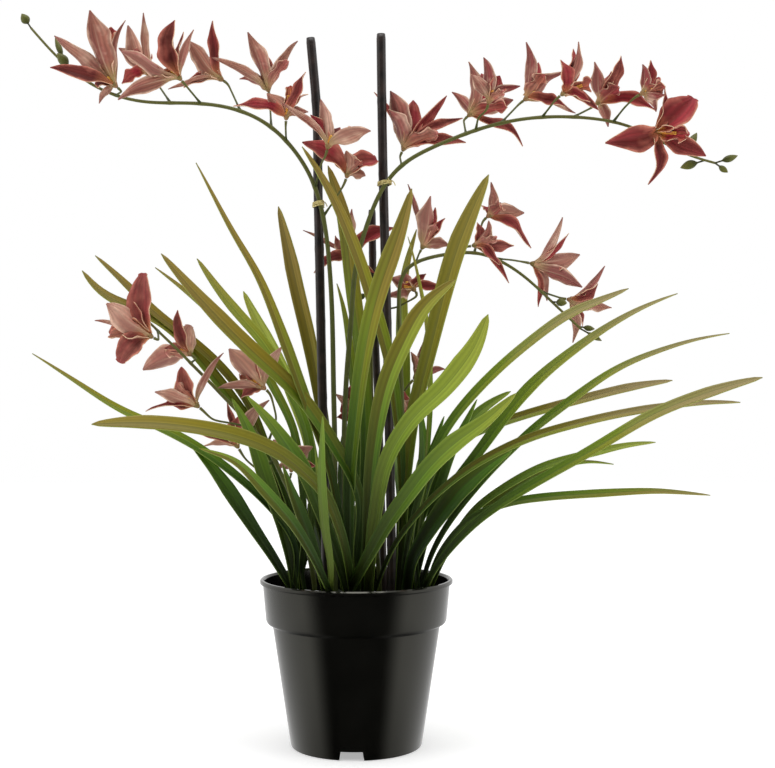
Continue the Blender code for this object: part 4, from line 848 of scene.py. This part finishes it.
# spikes: the stem, how red and how pale its blooms are, then each bloom: where its pedicel leaves the stem
# and the points that it passes, the flower's foot, its tepals and last its lip. A tepal has its tip
# (across, down), how much deeper it is than the foot, and its width.
spikes = {
    "a": ("stem_upper_left", 0.2, 0.04, [
        ([(116, 97, -15)], (118, 88, -30), [(91, 10, -14, 22), (124, 20, 4, 6), (53, 37, 2, 14),
            (50, 67, -8, 13), (99, 104, -4, 6), (94, 83, 10, 13), (113, 28, 12, 16)]),
        ([(172, 102, -14), (159, 86, 6)], (150, 76, 14), [(145, 13, -4, 8), (128, 26, 10, 16),
            (119, 48, 16, 15), (122, 84, 2, 15), (152, 56, 34, 11), (135, 50, 4, 13)]),
        ([(199, 102, -13)], (182, 81, -32), [(172, 20, -12, 21), (194, 30, 6, 7), (185, 33, 14, 7),
            (121, 52, -14, 13), (118, 100, -12, 13), (150, 74, 2, 12)]),
        ([(240, 108, -11)], (224, 81, 12), [(213, 21, 2, 11), (187, 40, -6, 16), (168, 89, 2, 5),
            (182, 86, 10, 11), (212, 52, 26, 12), (205, 70, 4, 11)]),
        ([(272, 124, -9), (270, 104, 6)], (269, 93, 14), [(248.7, 32, -6, 14), (297, 41, 6, 9),
            (212, 58, -12, 8), (262, 50, 22, 13), (240, 78, 10, 10), (288, 60, -6, 11)]),
        ([(288, 140, -8)], (286, 121, -24), [(306, 72, -4, 12), (233, 106, -14, 14), (307, 92, 8, 8),
            (308, 112, -10, 8), (266, 94, -8, 13), (290, 85, 4, 10)]),
        ([(320, 185, -4), (321, 164, -20)], (327, 150, -34), [(321, 99, 2, 11), (371, 131, -10, 14),
            (281, 103, -24, 6), (311, 115, 6, 10), (340, 127, 14, 11), (356, 130, 6, 10)]),
        ([(328, 216, -3), (336, 198, -8)], (346, 179, -6), [(377, 160, 6, 19), (302, 141, -1, 18),
            (347, 150, -8, 12), (366, 176, -6, 10), (334, 152, 6, 10), (361, 160, -4, 11)]),
    ]),
    "b": ("stem_upper_right", 0.65, 0.0, [
        ([(398, 163, -5)], (402, 152, 14), [(390, 91, -2, 20), (374, 92, 14, 6), (389, 109, -12, 16),
            (448, 96, 4, 10), (463, 117, 0, 9), (414, 99, 8, 18), (466, 142, -2, 12), (438, 134, -6, 17)]),
        ([(468, 132, -10)], (467, 117, 12), [(471, 61, -6, 13), (513, 100, 4, 16), (525, 144, 6, 10),
            (488, 75, 14, 12), (452, 92, 20, 10), (508, 106, -4, 14)]),
        ([(476, 128, -10), (478, 118, -20)], (488, 105, -30), [(485, 57, -6, 13), (499, 76, 6, 15),
            (470, 75, -10, 11), (520, 86, 2, 8), (480, 72, 16, 9), (504, 92, -6, 9)]),
        ([(502, 122, -10)], (523, 101, 12), [(527, 42, -4, 11), (564, 72, 4, 12), (565, 105, -4, 12),
            (575, 113, 8, 7), (538, 62, 18, 13), (543, 74, 0, 17)]),
        ([(540, 117, -12)], (560, 96, -30), [(579.6, 42, -4, 10), (573, 49, 9, 13), (599, 110, 4, 9),
            (560, 60, -14, 14), (590, 102, -8, 10), (592, 82, 2, 15)]),
        ([(573.6, 116, -12)], (595, 105, 12), [(594, 62, -6, 12), (623, 56, 4, 14), (657, 108, 8, 14),
            (608, 127, 10, 9), (612, 72, 18, 13), (618, 86, -2, 17)]),
        ([(612, 119, -10), (624, 108, -20)], (639, 95, -26), [(643, 64, -4, 9), (651, 60, 6, 9),
            (665, 96, -4, 13), (657, 112, -2, 8), (659, 78, 14, 12), (664, 86, 0, 14)]),
        ([(645, 132, 2)], (653, 132, -18), [(605, 143, -14, 22), (664.5, 86, -4, 10), (694, 98, -8, 27),
            (706, 156, -12, 17), (650, 185, -10, 13), (688, 134, -18, 17)]),
    ]),
    "c": ("stem_right", 0.6, 0.14, [
        ([(414, 261, 16)], (421, 250, 18), [(408, 184, 2, 5), (430, 196, -4, 16), (445, 218, 6, 8),
            (450, 245, 4, 11), (436, 208, 14, 12), (436, 226, 0, 12)]),
        ([(474, 249, 20), (480, 232, 32)], (486, 218, 38), [(491, 182, -4, 9), (524, 213, 4, 14),
            (530, 249, 4, 12), (481, 205, 6, 9), (501, 203, 12, 9), (503, 205, -6, 14)]),
        ([(462, 252, 19)], (471, 246, 4), [(490, 221, -2, 13), (514, 246, 4, 12), (509, 283, -6, 6),
            (478, 222, 4, 10), (500, 264, -12, 9), (497, 238, -6, 10)]),
        ([(496, 258, 20), (512, 260, 30)], (529, 263, 40), [(563, 218, 2, 8), (568, 233, 10, 7),
            (579, 255, 6, 18), (582, 287, -6, 13), (538, 307, 6, 6), (547, 301, 10, 8), (562, 270, 2, 10)]),
        ([(541, 291, 23)], (566, 299, 40), [(605, 266, 4, 6), (599, 285, -4, 10), (612, 307, 2, 12),
            (573, 343, -4, 9), (584, 326, 10, 8), (592, 295, 0, 11)]),
    ]),
    "d": ("stem_left", 0.1, 0.16, [
        ([(157, 331, -60)], (154, 338, -78), [(144, 273, 6, 22), (106, 303, -12, 19), (96, 319, 4, 6),
            (120, 363, -8, 22), (128, 296, 12, 16), (107, 331, 6, 22)]),
        ([(191, 364, -58)], (192.5, 356, -48), [(177, 310, 4, 11), (190, 325, 9, 17), (143, 370, 3, 19),
            (163, 348, 6, 9), (180, 334, 14, 9), (166, 353, 2, 10)]),
        ([(252, 429, -52), (236, 424, -66), (212, 420, -68)], (200, 408, -66), [(182, 367, 6, 18),
            (223.5, 353, -8, 6), (155, 392, -8, 11), (145, 410, -2, 5), (166, 402, 10, 9),
            (175, 383, 0, 11)]),
        ([(268, 446, -48), (277, 419, -45), (273, 403, -43)], (266.5, 390, -42), [(229, 349, -8, 20),
            (282, 347, -4, 12), (218, 388, -6, 8), (241, 398, -2, 12), (250, 354, 4, 12),
            (240, 374, 2, 11)]),
        ([(274, 462, -46), (258, 470, -46), (246, 460, -48)], (239, 449, -52), [(228, 402, 3, 7),
            (269, 400, 8, 11), (239, 416, -2, 14), (197, 433, -4, 9), (202, 447, 2, 6), (222, 430, 4, 9)]),
        ([(284, 481, -44)], (291, 473, -41), [(273, 440, -4, 16), (312, 446, 2, 17), (315, 466, -2, 12),
            (292, 440, 8, 10), (276, 468, 2, 8), (300, 450, -4, 10)]),
    ]),
    "e": ("stem_back", 0.6, 0.0, [
        ([(360, 268, 34)], (352, 260, 33), [(303, 231, 6, 4), (313, 272, 4, 12), (352, 209, 4, 9),
            (334, 237, 4, 12), (394, 226, 4, 15), (375, 274, 4, 4)]),
        ([(370, 310, 30), (396, 308, 26)], (416, 292, 26), [(391, 278, 6, 14), (388, 297, -6, 14),
            (450, 289, 4, 9), (404, 272, 5, 11), (426, 274, 8, 9), (398, 287, 0, 9)]),
        ([(372, 420, 28), (396, 402, 28.5)], (413, 380, 24), [(424, 342, 4, 13), (445, 369, 4, 8),
            (411, 352, 4, 8), (432, 360, 8, 8), (428, 388, 2, 8), (422, 362, -4, 7)]),
        ([(373, 460, 25)], (354, 424, 31), [(336, 394, 0, 12), (337, 417, -4, 8), (350, 385, 6, 9),
            (364, 398, 4, 9), (340, 404, 8, 8), (346, 398, -2, 7)]),
        ([(373, 480, 24), (396, 450, 18)], (410, 420, 17), [(394, 396, 3, 10), (392, 414, 0, 10),
            (405, 391, 5, 9), (417, 397, 3, 9), (397, 429, 2, 8), (402, 402, 0, 7)]),
    ]),
}
blooms = {f"bloom_{letter}{i + 1}": (spike, *flowers[i])
          for letter, (*spike, flowers) in spikes.items() for i in range(len(flowers))}
roundTepals = [("bloom_a8", 0), ("bloom_b1", 7), ("bloom_b8", 2), ("bloom_d1", 0), ("bloom_d1", 3),
               ("bloom_d2", 1)]
bloomForm = {
    "neck": 5.0, "clear": 0.3, "heartTop": 3.4, "heartLength": 5.0, "deepen": 1.3, "rootRing": 0.55,
    "rootSink": 1.2, "calyx": (0, 1.6, 2.0, 2.5, 2.9, 3.2, 2.6, 0),
    "stations": 22, "across": 12, "lipStations": 26, "lipAcross": 14, "bunch": 1.3, "thick": 0.7,
    "bow": 0.18, "bowOut": 0.25, "faceTurn": 24, "broadFrom": 12,
    "crease": (0.2, 0.55), "creaseFoot": 1.15, "creaseLoss": 0.7, "cup": 0.12, "turnDown": 0.14,
    "turnFrom": 0.75, "ruffle": 0.13, "ruffles": 13, "ragged": 0.12, "rags": 6, "fuller": 1.12,
    "tipShare": 0.5, "sway": 0.05, "swayTurns": 1.6, "curl": 0.12, "curlFrom": 0.7, "hook": 8,
    "twist": 1.1, "twistFrom": 0.3, "roundStill": 0.3, "roundRuffle": 0.5,
    "lipOpen": 112, "lipClose": 66, "lipRadius": 0.66, "lipRuffle": 0.24, "crimps": 21, "fineCrimps": 37,
    "lipDrop": 3.0, "dropFrom": 0.72, "toneSpread": 0.6, "lipTone": 0.7, "paleSpread": 0.2,
    "keelApart": 0.9, "keelRise": 0.9, "keelFrom": 3, "keelTo": 0.625, "keelRadius": 0.75, "keelSides": 8,
    "columnLength": 9.0, "columnArch": 2.2, "column": (0, 1.7, 1.6, 1.5, 1.45, 1.45, 1.6, 1.9, 1.6, 0),
    "barSides": 12,
    # the finishes' slots: a tepal's or a lip's inside, outside and edge, then the calyx and the column
    "petalSlots": (0, 1, 2), "lipSlots": (4, 5, 2), "calyxSlot": 3, "columnSlot": 6,
}


def stemLine(name, count):
    _, _, foot, line, _ = flowerStems[name]
    return barLine(foot, line, stemForm, count, count // 4)


def bloomFrame(foot, tepals):
    # the flower's foot, the tips of its tepals, and the way that it faces
    end = drawn(*foot)
    deepen = bloomForm["deepen"]
    tips = [drawn(across, down, foot[2] + deepen * deeper) for across, down, deeper, _ in tepals]
    axis = sum(((tip - end).normalized() for tip in tips), Vector()).normalized()
    return end, tips, axis


def makePedicel(bm, root, points, foot, tepals, p):
    end, _, axis = bloomFrame(foot, tepals)
    line = [root] + [drawn(*point) for point in points] + [end - axis * bloomForm["neck"] * mm, end]
    last, steps = p["pedicelSteps"], p["slimSteps"]
    radii = [p["pedicel"] * (p["pedicelFoot"] - p["pedicelSlim"] * min(1, k / steps))
             + p["neckRise"] * max(0, (k - last + steps) / steps) for k in range(last + 1)]
    tube(bm, smooth(line, last + 1, 5), radii, p["pedicelSides"])


def makeBud(bm, root, end, width, p):
    # a stalk, then a spindle with faint ridges; its round end stays inside the solid's point
    end = root.lerp(end, p["budShort"])
    radii = []
    for k in range(p["budSteps"] + 1):
        share = min(1, max(0, (k / p["budSteps"] - p["stalkShare"]) / (1 - p["stalkShare"])))
        swell = width * 0.5 * sin(pi * share ** p["budPower"]) ** p["budPower"]
        radii.append(max(p["budTip"] if k > p["stalkSteps"] else p["stalk"], swell))
    line = along([root, end], p["budSteps"] + 1)
    tube(bm, line, radii, p["budSides"], 1,
         lobes=lambda angle, k: 1 + p["ridgeRise"] * cos(p["ridges"] * angle) * (k > p["stalkSteps"]))


def makeStem(name, p):
    footRadius, tipRadius, _, _, buds = flowerStems[name]
    path = stemLine(name, p["stations"])
    starts = []
    bm = newMesh()
    for (stem, *_), points, foot, tepals in blooms.values():
        if stem == name:
            start = drawn(*points[0])
            root = min(path, key=lambda point: (point - start).length)
            starts.append(path.index(root))
            makePedicel(bm, root, points[1:], foot, tepals, p)
    radii = []
    for k in range(len(path)):
        radius = footRadius + (tipRadius - footRadius) * (k / (len(path) - 1)) ** p["taper"]
        knot = max([exp(-((k - start) / p["nodeWide"]) ** 2) for start in starts], default=0)
        radii.append(radius * (1 + p["nodeRise"] * knot))
    tube(bm, path, radii, p["sides"])
    for stalk, tip, width, depth in buds:
        start = drawn(*stalk)
        root = min(path, key=lambda point: hypot(point.x - start.x, point.z - start.z))
        makeBud(bm, root, drawn(*tip, depth), width, p)
    finished(name + "Spike", bm, [stemGreen, budGreen], name)


for name in flowerStems:
    makeStem(name, stemForm)
print("flower stems made")


def tepalWidth(share, width, rounded):
    # a rounded tepal is widest past its middle; others are drawn out, a broad one widest further on
    if rounded:
        foot, widest, tip = 0.25, 0.58, 0.24
        if share < widest:
            return foot + (1 - foot) * sin(pi / 2 * share / widest) ** 1.3
        return max(tip, 1 - ((share - widest) / (1 - widest)) ** 2.4) ** 0.6
    tipFrom, tipLoss, least = 0.72, 0.4, 0.1
    further = 1.12 + 0.03 * max(0, width - bloomForm["broadFrom"])
    swell = sin(pi * share ** further) ** 0.72
    return max(least, swell * (1 - tipLoss * max(0, share - tipFrom) / (1 - tipFrom)))


def lipWidth(share):
    # upright side lobes, a waist, and a rounded front lobe
    waist, roundFrom = 0.4, 0.8
    sideLobes = 0.6 * exp(-((share - 0.4) / 0.2) ** 2)
    frontLobe = 0.5 * exp(-((share - 0.84) / 0.13) ** 2)
    rounding = sqrt(max(0.01, 1 - max(0, (share - roundFrom) / (1 - roundFrom)) ** 2))
    return (waist + sideLobes + frontLobe) * rounding


def roundHeart(axis, ways):
    # a direction for each tepal's root, evenly round the axis in the order in which the tepals lie
    one = axis.orthogonal().normalized()
    two = axis.cross(one)
    angles = [atan2(way.dot(two), way.dot(one)) for way in ways]
    order = sorted(range(len(ways)), key=lambda i: angles[i])
    step = tau / len(ways)
    lead = [angles[i] - step * rank for rank, i in enumerate(order)]
    start = atan2(sum(sin(a) for a in lead), sum(cos(a) for a in lead))
    return {i: one * cos(start + step * rank) + two * sin(start + step * rank)
            for rank, i in enumerate(order)}


def makeBloom(name, p):
    rng = random.Random(name)
    (_, redness, paleness), _, foot, tepals = blooms[name]
    end, tips, axis = bloomFrame(foot, tepals)
    heart = end + axis * (p["clear"] + p["heartLength"]) * mm
    bm = newMesh()
    shade, tint, under = layersOf(bm, "shade", "tint", "under")
    calyx = along([end + axis * p["clear"] * mm, heart + axis * mm], len(p["calyx"]))
    tube(bm, calyx, p["calyx"], p["barSides"], p["calyxSlot"])
    roots = roundHeart(axis, [tip - heart for tip in tips])
    for i, (tip, (_, _, _, width)) in enumerate(zip(tips, tepals)):
        lip = i == len(tepals) - 1
        rounded = (name, i) in roundTepals
        count = p["lipStations"] if lip else p["stations"]
        long = (tip - heart).length
        root = heart + (roots[i] * p["rootRing"] * p["heartTop"] - axis * p["rootSink"]) * mm
        bow = heart + (axis * p["bow"] + (tip - heart).normalized() * p["bowOut"]) * long
        shares = [1 - (1 - k / count) ** p["bunch"] for k in range(count + 1)]
        path = [root * (1 - t) ** 2 + bow * 2 * t * (1 - t) + tip * t * t for t in shares]
        inward = heart + axis * (path[count // 3] - heart).dot(axis) - path[count // 3]
        turn = radians(p["faceTurn"] if i % 2 else -p["faceTurn"])
        frames = bladeFrames(path, turn, inward.normalized() + axis)
        phase = rng.uniform(0, tau)
        broad = 1 + max(0, width - p["broadFrom"]) / 10
        ruffle = p["ruffle"] * (p["roundRuffle"] if rounded else 1)
        still = p["roundStill"] if rounded else 1
        crease = rng.uniform(*p["crease"])
        twist = rng.uniform(-p["twist"], p["twist"]) / broad * still
        curl = rng.uniform(-0.5, 1) * p["curl"] * long * still
        sway = rng.uniform(-1, 1) * p["sway"] * long / broad

        def placeTepal(u, k):
            t = shares[k]
            out = 2 * u - 1
            across, up = frames[k]
            angle = twist * (t - p["twistFrom"])
            side = across * cos(angle) + up * sin(angle)
            face = up * cos(angle) - across * sin(angle)
            ragged = 1 + p["ragged"] * noise.noise(Vector((t * p["rags"], copysign(3, out), phase)))
            wide = width * tepalWidth(t, width, rounded) * p["fuller"] * ragged * mm
            if k == count:
                wide *= p["tipShare"]
            lift = crease * abs(out) * (p["creaseFoot"] - p["creaseLoss"] * t) + p["cup"] * out * out
            lift += ruffle * out * abs(out) * sin(p["ruffles"] * t + phase)
            lift -= p["turnDown"] * max(0, abs(out) - p["turnFrom"])
            bend = sway * sin(pi * t) * sin(pi * t * p["swayTurns"] + phase)
            hook = curl * max(0, t - p["curlFrom"]) ** 2 * p["hook"]
            return path[k] + side * (out * wide / 2 + bend) + face * (lift * wide + bend - hook)

        def placeLip(u, k):
            # a trough that opens out along the lip, its margin crimped, its end curled back
            t = shares[k]
            out = 2 * u - 1
            across, up = frames[k]
            opened = radians(p["lipOpen"] - p["lipClose"] * t)
            radius = width * p["lipRadius"] * lipWidth(t) / opened * mm
            waves = sin(p["crimps"] * t + phase + 2 * out) + 0.5 * sin(p["fineCrimps"] * t - phase)
            crimp = p["lipRuffle"] * width * mm * out * out * t * waves
            drop = p["lipDrop"] * width * mm * max(0, t - p["dropFrom"]) ** 2
            rise = radius * (1 - cos(opened * out))
            return path[k] + across * radius * sin(opened * out) + up * (rise + crimp - drop)

        made = lay(bm, p["lipAcross"] if lip else p["across"], count, placeLip if lip else placeTepal)
        tone = (redness + rng.uniform(-p["toneSpread"], p["toneSpread"])) * (p["lipTone"] if lip else 1)
        pale = rng.uniform(0, p["paleSpread"]) + paleness
        for vert in made:
            vert[shade] = tone
            vert[tint] = pale
        slots = p["lipSlots"] if lip else p["petalSlots"]
        half = count // 2
        thicken(bm, made, p["thick"], slots, under, path[half], frames[half][1])
    # on the lip, which comes last, the two keels of its crest
    ridge = range(p["keelFrom"], int(count * p["keelTo"]))
    for side in (-p["keelApart"], p["keelApart"]):
        keel = [path[k] + (frames[k][0] * side + frames[k][1] * p["keelRise"]) * mm for k in ridge]
        tube(bm, keel, [p["keelRadius"]] * len(keel), p["keelSides"], p["columnSlot"])
    # the column arches over the lip and ends in its anther cap
    way = (tips[-1] - heart).normalized()
    last = len(p["column"]) - 1
    column = [heart + (axis * p["columnLength"] * k / last + way * p["columnArch"] * (k / last) ** 2) * mm
              for k in range(last + 1)]
    tube(bm, column, p["column"], p["barSides"], p["columnSlot"])
    finished(name + "Petals", bm, [petalInside, petalOutside, petalEdge, calyxTan, lipInside, lipOutside,
                                   columnCream], name)


for name in blooms:
    makeBloom(name, bloomForm)
print("blooms made")

# ties: the cane, the flower stem, how far down, the height of the winding and its turns
ties = {
    "tie_left": ("cane_left", "stem_upper_left", 204.0, 6.5, 4),
    "tie_right": ("cane_right", "stem_upper_right", 183.0, 5.0, 3),
}
tieForm = {
    "steps": 40, "barSteps": 120, "clear": 0.9, "wander": 0.2, "wanders": 2.7, "slope": 0.5, "slopes": 1.3,
    "edge": 1.6, "strand": 0.66, "uneven": 0.12, "unevens": 0.7, "flat": 0.25, "sides": 8,
    # a loose end runs on across, forwards and down by these shares
    "endRadius": 0.5, "endSides": 6, "endSteps": 12, "endPoints": (0, 0.6, 1.2, 1.8),
}


def atHeight(line, z):
    for a, b in zip(line, line[1:]):
        if a.z <= z <= b.z:
            return a.lerp(b, (z - a.z) / (b.z - a.z))
    return line[-1]


def makeTie(name, p):
    cane, stem, down, height, turns = ties[name]
    middle = drawn(0, down).z
    bars = [(atHeight(caneLine(cane, p["barSteps"]), middle), canePlaces[cane][0]),
            (atHeight(stemLine(stem, p["barSteps"]), middle), flowerStems[stem][0])]
    bm = newMesh()
    count = p["steps"] * turns
    path = []
    for k in range(count + 1):
        angle = tau * k / p["steps"]
        way = Vector((cos(angle), sin(angle), 0))
        centre, radius = max(bars, key=lambda bar: bar[0].dot(way) + bar[1] * mm)
        rise = (k / count - 0.5) * (height - p["edge"]) * mm + p["slope"] * mm * sin(angle * p["slopes"])
        reach = radius + p["clear"] + p["wander"] * sin(angle * p["wanders"])
        path.append(Vector((centre.x, centre.y, middle + rise)) + way * reach * mm)
    path = smooth(path, count + 1, 2)
    radii = [p["strand"] + p["uneven"] * sin(k * p["unevens"]) for k in range(count + 1)]
    tube(bm, path, radii, p["sides"], lobes=lambda angle, k: 1 + p["flat"] * cos(2 * angle))
    for side, start in ((-1, path[0]), (1, path[-1])):
        end = [start + at(side * 2.0 * s, -1.5 - 2.0 * s, -1.6 * s * s * side) for s in p["endPoints"]]
        line = smooth([start, *end], p["endSteps"], 2)
        tube(bm, line, [p["endRadius"]] * p["endSteps"], p["endSides"])
    finished(name + "Raffia", bm, [raffiaStraw], name)


for name in ties:
    makeTie(name, tieForm)
print("ties made")

studio = {
    "floorSize": 4.0, "floorTone": 0.85, "floorGlow": 0.4, "tent": 0.88, "gap": 0.04, "gapFrom": -0.77,
    "gapTo": -0.28, "gapLow": 0.35, "gapHigh": 0.6, "table": 0.35, "tableLow": -0.8, "tableHigh": -0.42,
    # where each lamp stands, what it aims at, its size and its power
    "lamps": {"leftBox": ((-1.5, -1.0, 0.7), (0, 0, 0.35), (0.6, 1.3), 3.0),
              "rightBox": ((1.5, -0.9, 0.7), (0, 0, 0.35), (0.6, 1.3), 4.0),
              "topBox": ((0, -0.3, 1.9), (0, 0, 0.3), (1.2, 0.8), 9.0)},
}


def areaLight(name, place, aim, size, power):
    lamp = bpy.data.lights.new(name, "AREA")
    lamp.shape = "RECTANGLE"
    lamp.size, lamp.size_y = size
    lamp.energy = power
    stand = linked(name, lamp)
    stand.location = place
    stand.rotation_euler = (Vector(aim) - Vector(place)).to_track_quat("-Z", "Y").to_euler()


def makeFloor(p):
    bm = newMesh()
    board = bmesh.ops.create_grid(bm, x_segments=1, y_segments=1, size=p["floorSize"])["verts"]
    bmesh.ops.translate(bm, vec=at(0, 0, -0.5), verts=board)
    tone = p["floorTone"]
    paper = Finish("paleFloor", 0.9, Emission_Color=(1, 1, 1, 1), Emission_Strength=p["floorGlow"])
    floor = meshObject("studioFloor", bm, [paper.paint((tone, tone, tone, 1))])
    floor.visible_glossy = False


def makeTent(p):
    # a white tent all round, with a dark gap where the photographer stands and a dim table below
    world = bpy.data.worlds.new("studioWorld")
    world.use_nodes = True
    tent = Nodes(world.node_tree)
    sky = tent.tree.nodes["Background"]
    sky.inputs["Color"].default_value = (1, 1, 1, 1)

    def step(value, low, high, before, after):
        return tent.node("MapRange", interpolation_type="SMOOTHSTEP", in0=value, in1=low, in2=high,
                         in3=before, in4=after)

    way = tent.node("SeparateXYZ", in0=tent.node("TexCoord")).node.outputs
    flat = tent.node("CombineXYZ", in0=way[0], in1=way[1])
    aim = tent.node("SeparateXYZ", out=1, in0=tent.node("VectorMath", operation="NORMALIZE", in0=flat))
    wide = step(aim, p["gapFrom"], p["gapTo"], p["gap"], p["tent"])
    high = step(way[2], p["gapLow"], p["gapHigh"], p["gap"], p["tent"])
    table = step(way[2], p["tableLow"], p["tableHigh"], p["table"], 1.0)
    lit = tent.times(tent.math("MAXIMUM", wide, high), table)
    tent.put(sky.inputs["Strength"], tent.math("MAXIMUM", lit, tent.node("LightPath")))
    bpy.context.scene.world = world


def makeCamera():
    # it stands where the elevation is looked at from
    lens = bpy.data.cameras.new("camera")
    lens.sensor_width = 36.0
    lens.lens = sheet["eyeDistance"] * lens.sensor_width / sheet["width"]
    lens.shift_y = (sheet["floorDown"] - sheet["eyeZ"] - sheet["height"] / 2) / sheet["width"]
    camera = linked("camera", lens)
    camera.location = at(sheet["eyeX"], -sheet["eyeDistance"], sheet["eyeZ"])
    camera.rotation_euler = (radians(90), 0, 0)
    bpy.context.scene.camera = camera
    bpy.context.scene.view_settings.view_transform = "Standard"


makeFloor(studio)
makeTent(studio)
for name, lamp in studio["lamps"].items():
    areaLight(name, *lamp)
makeCamera()
print("studio made")
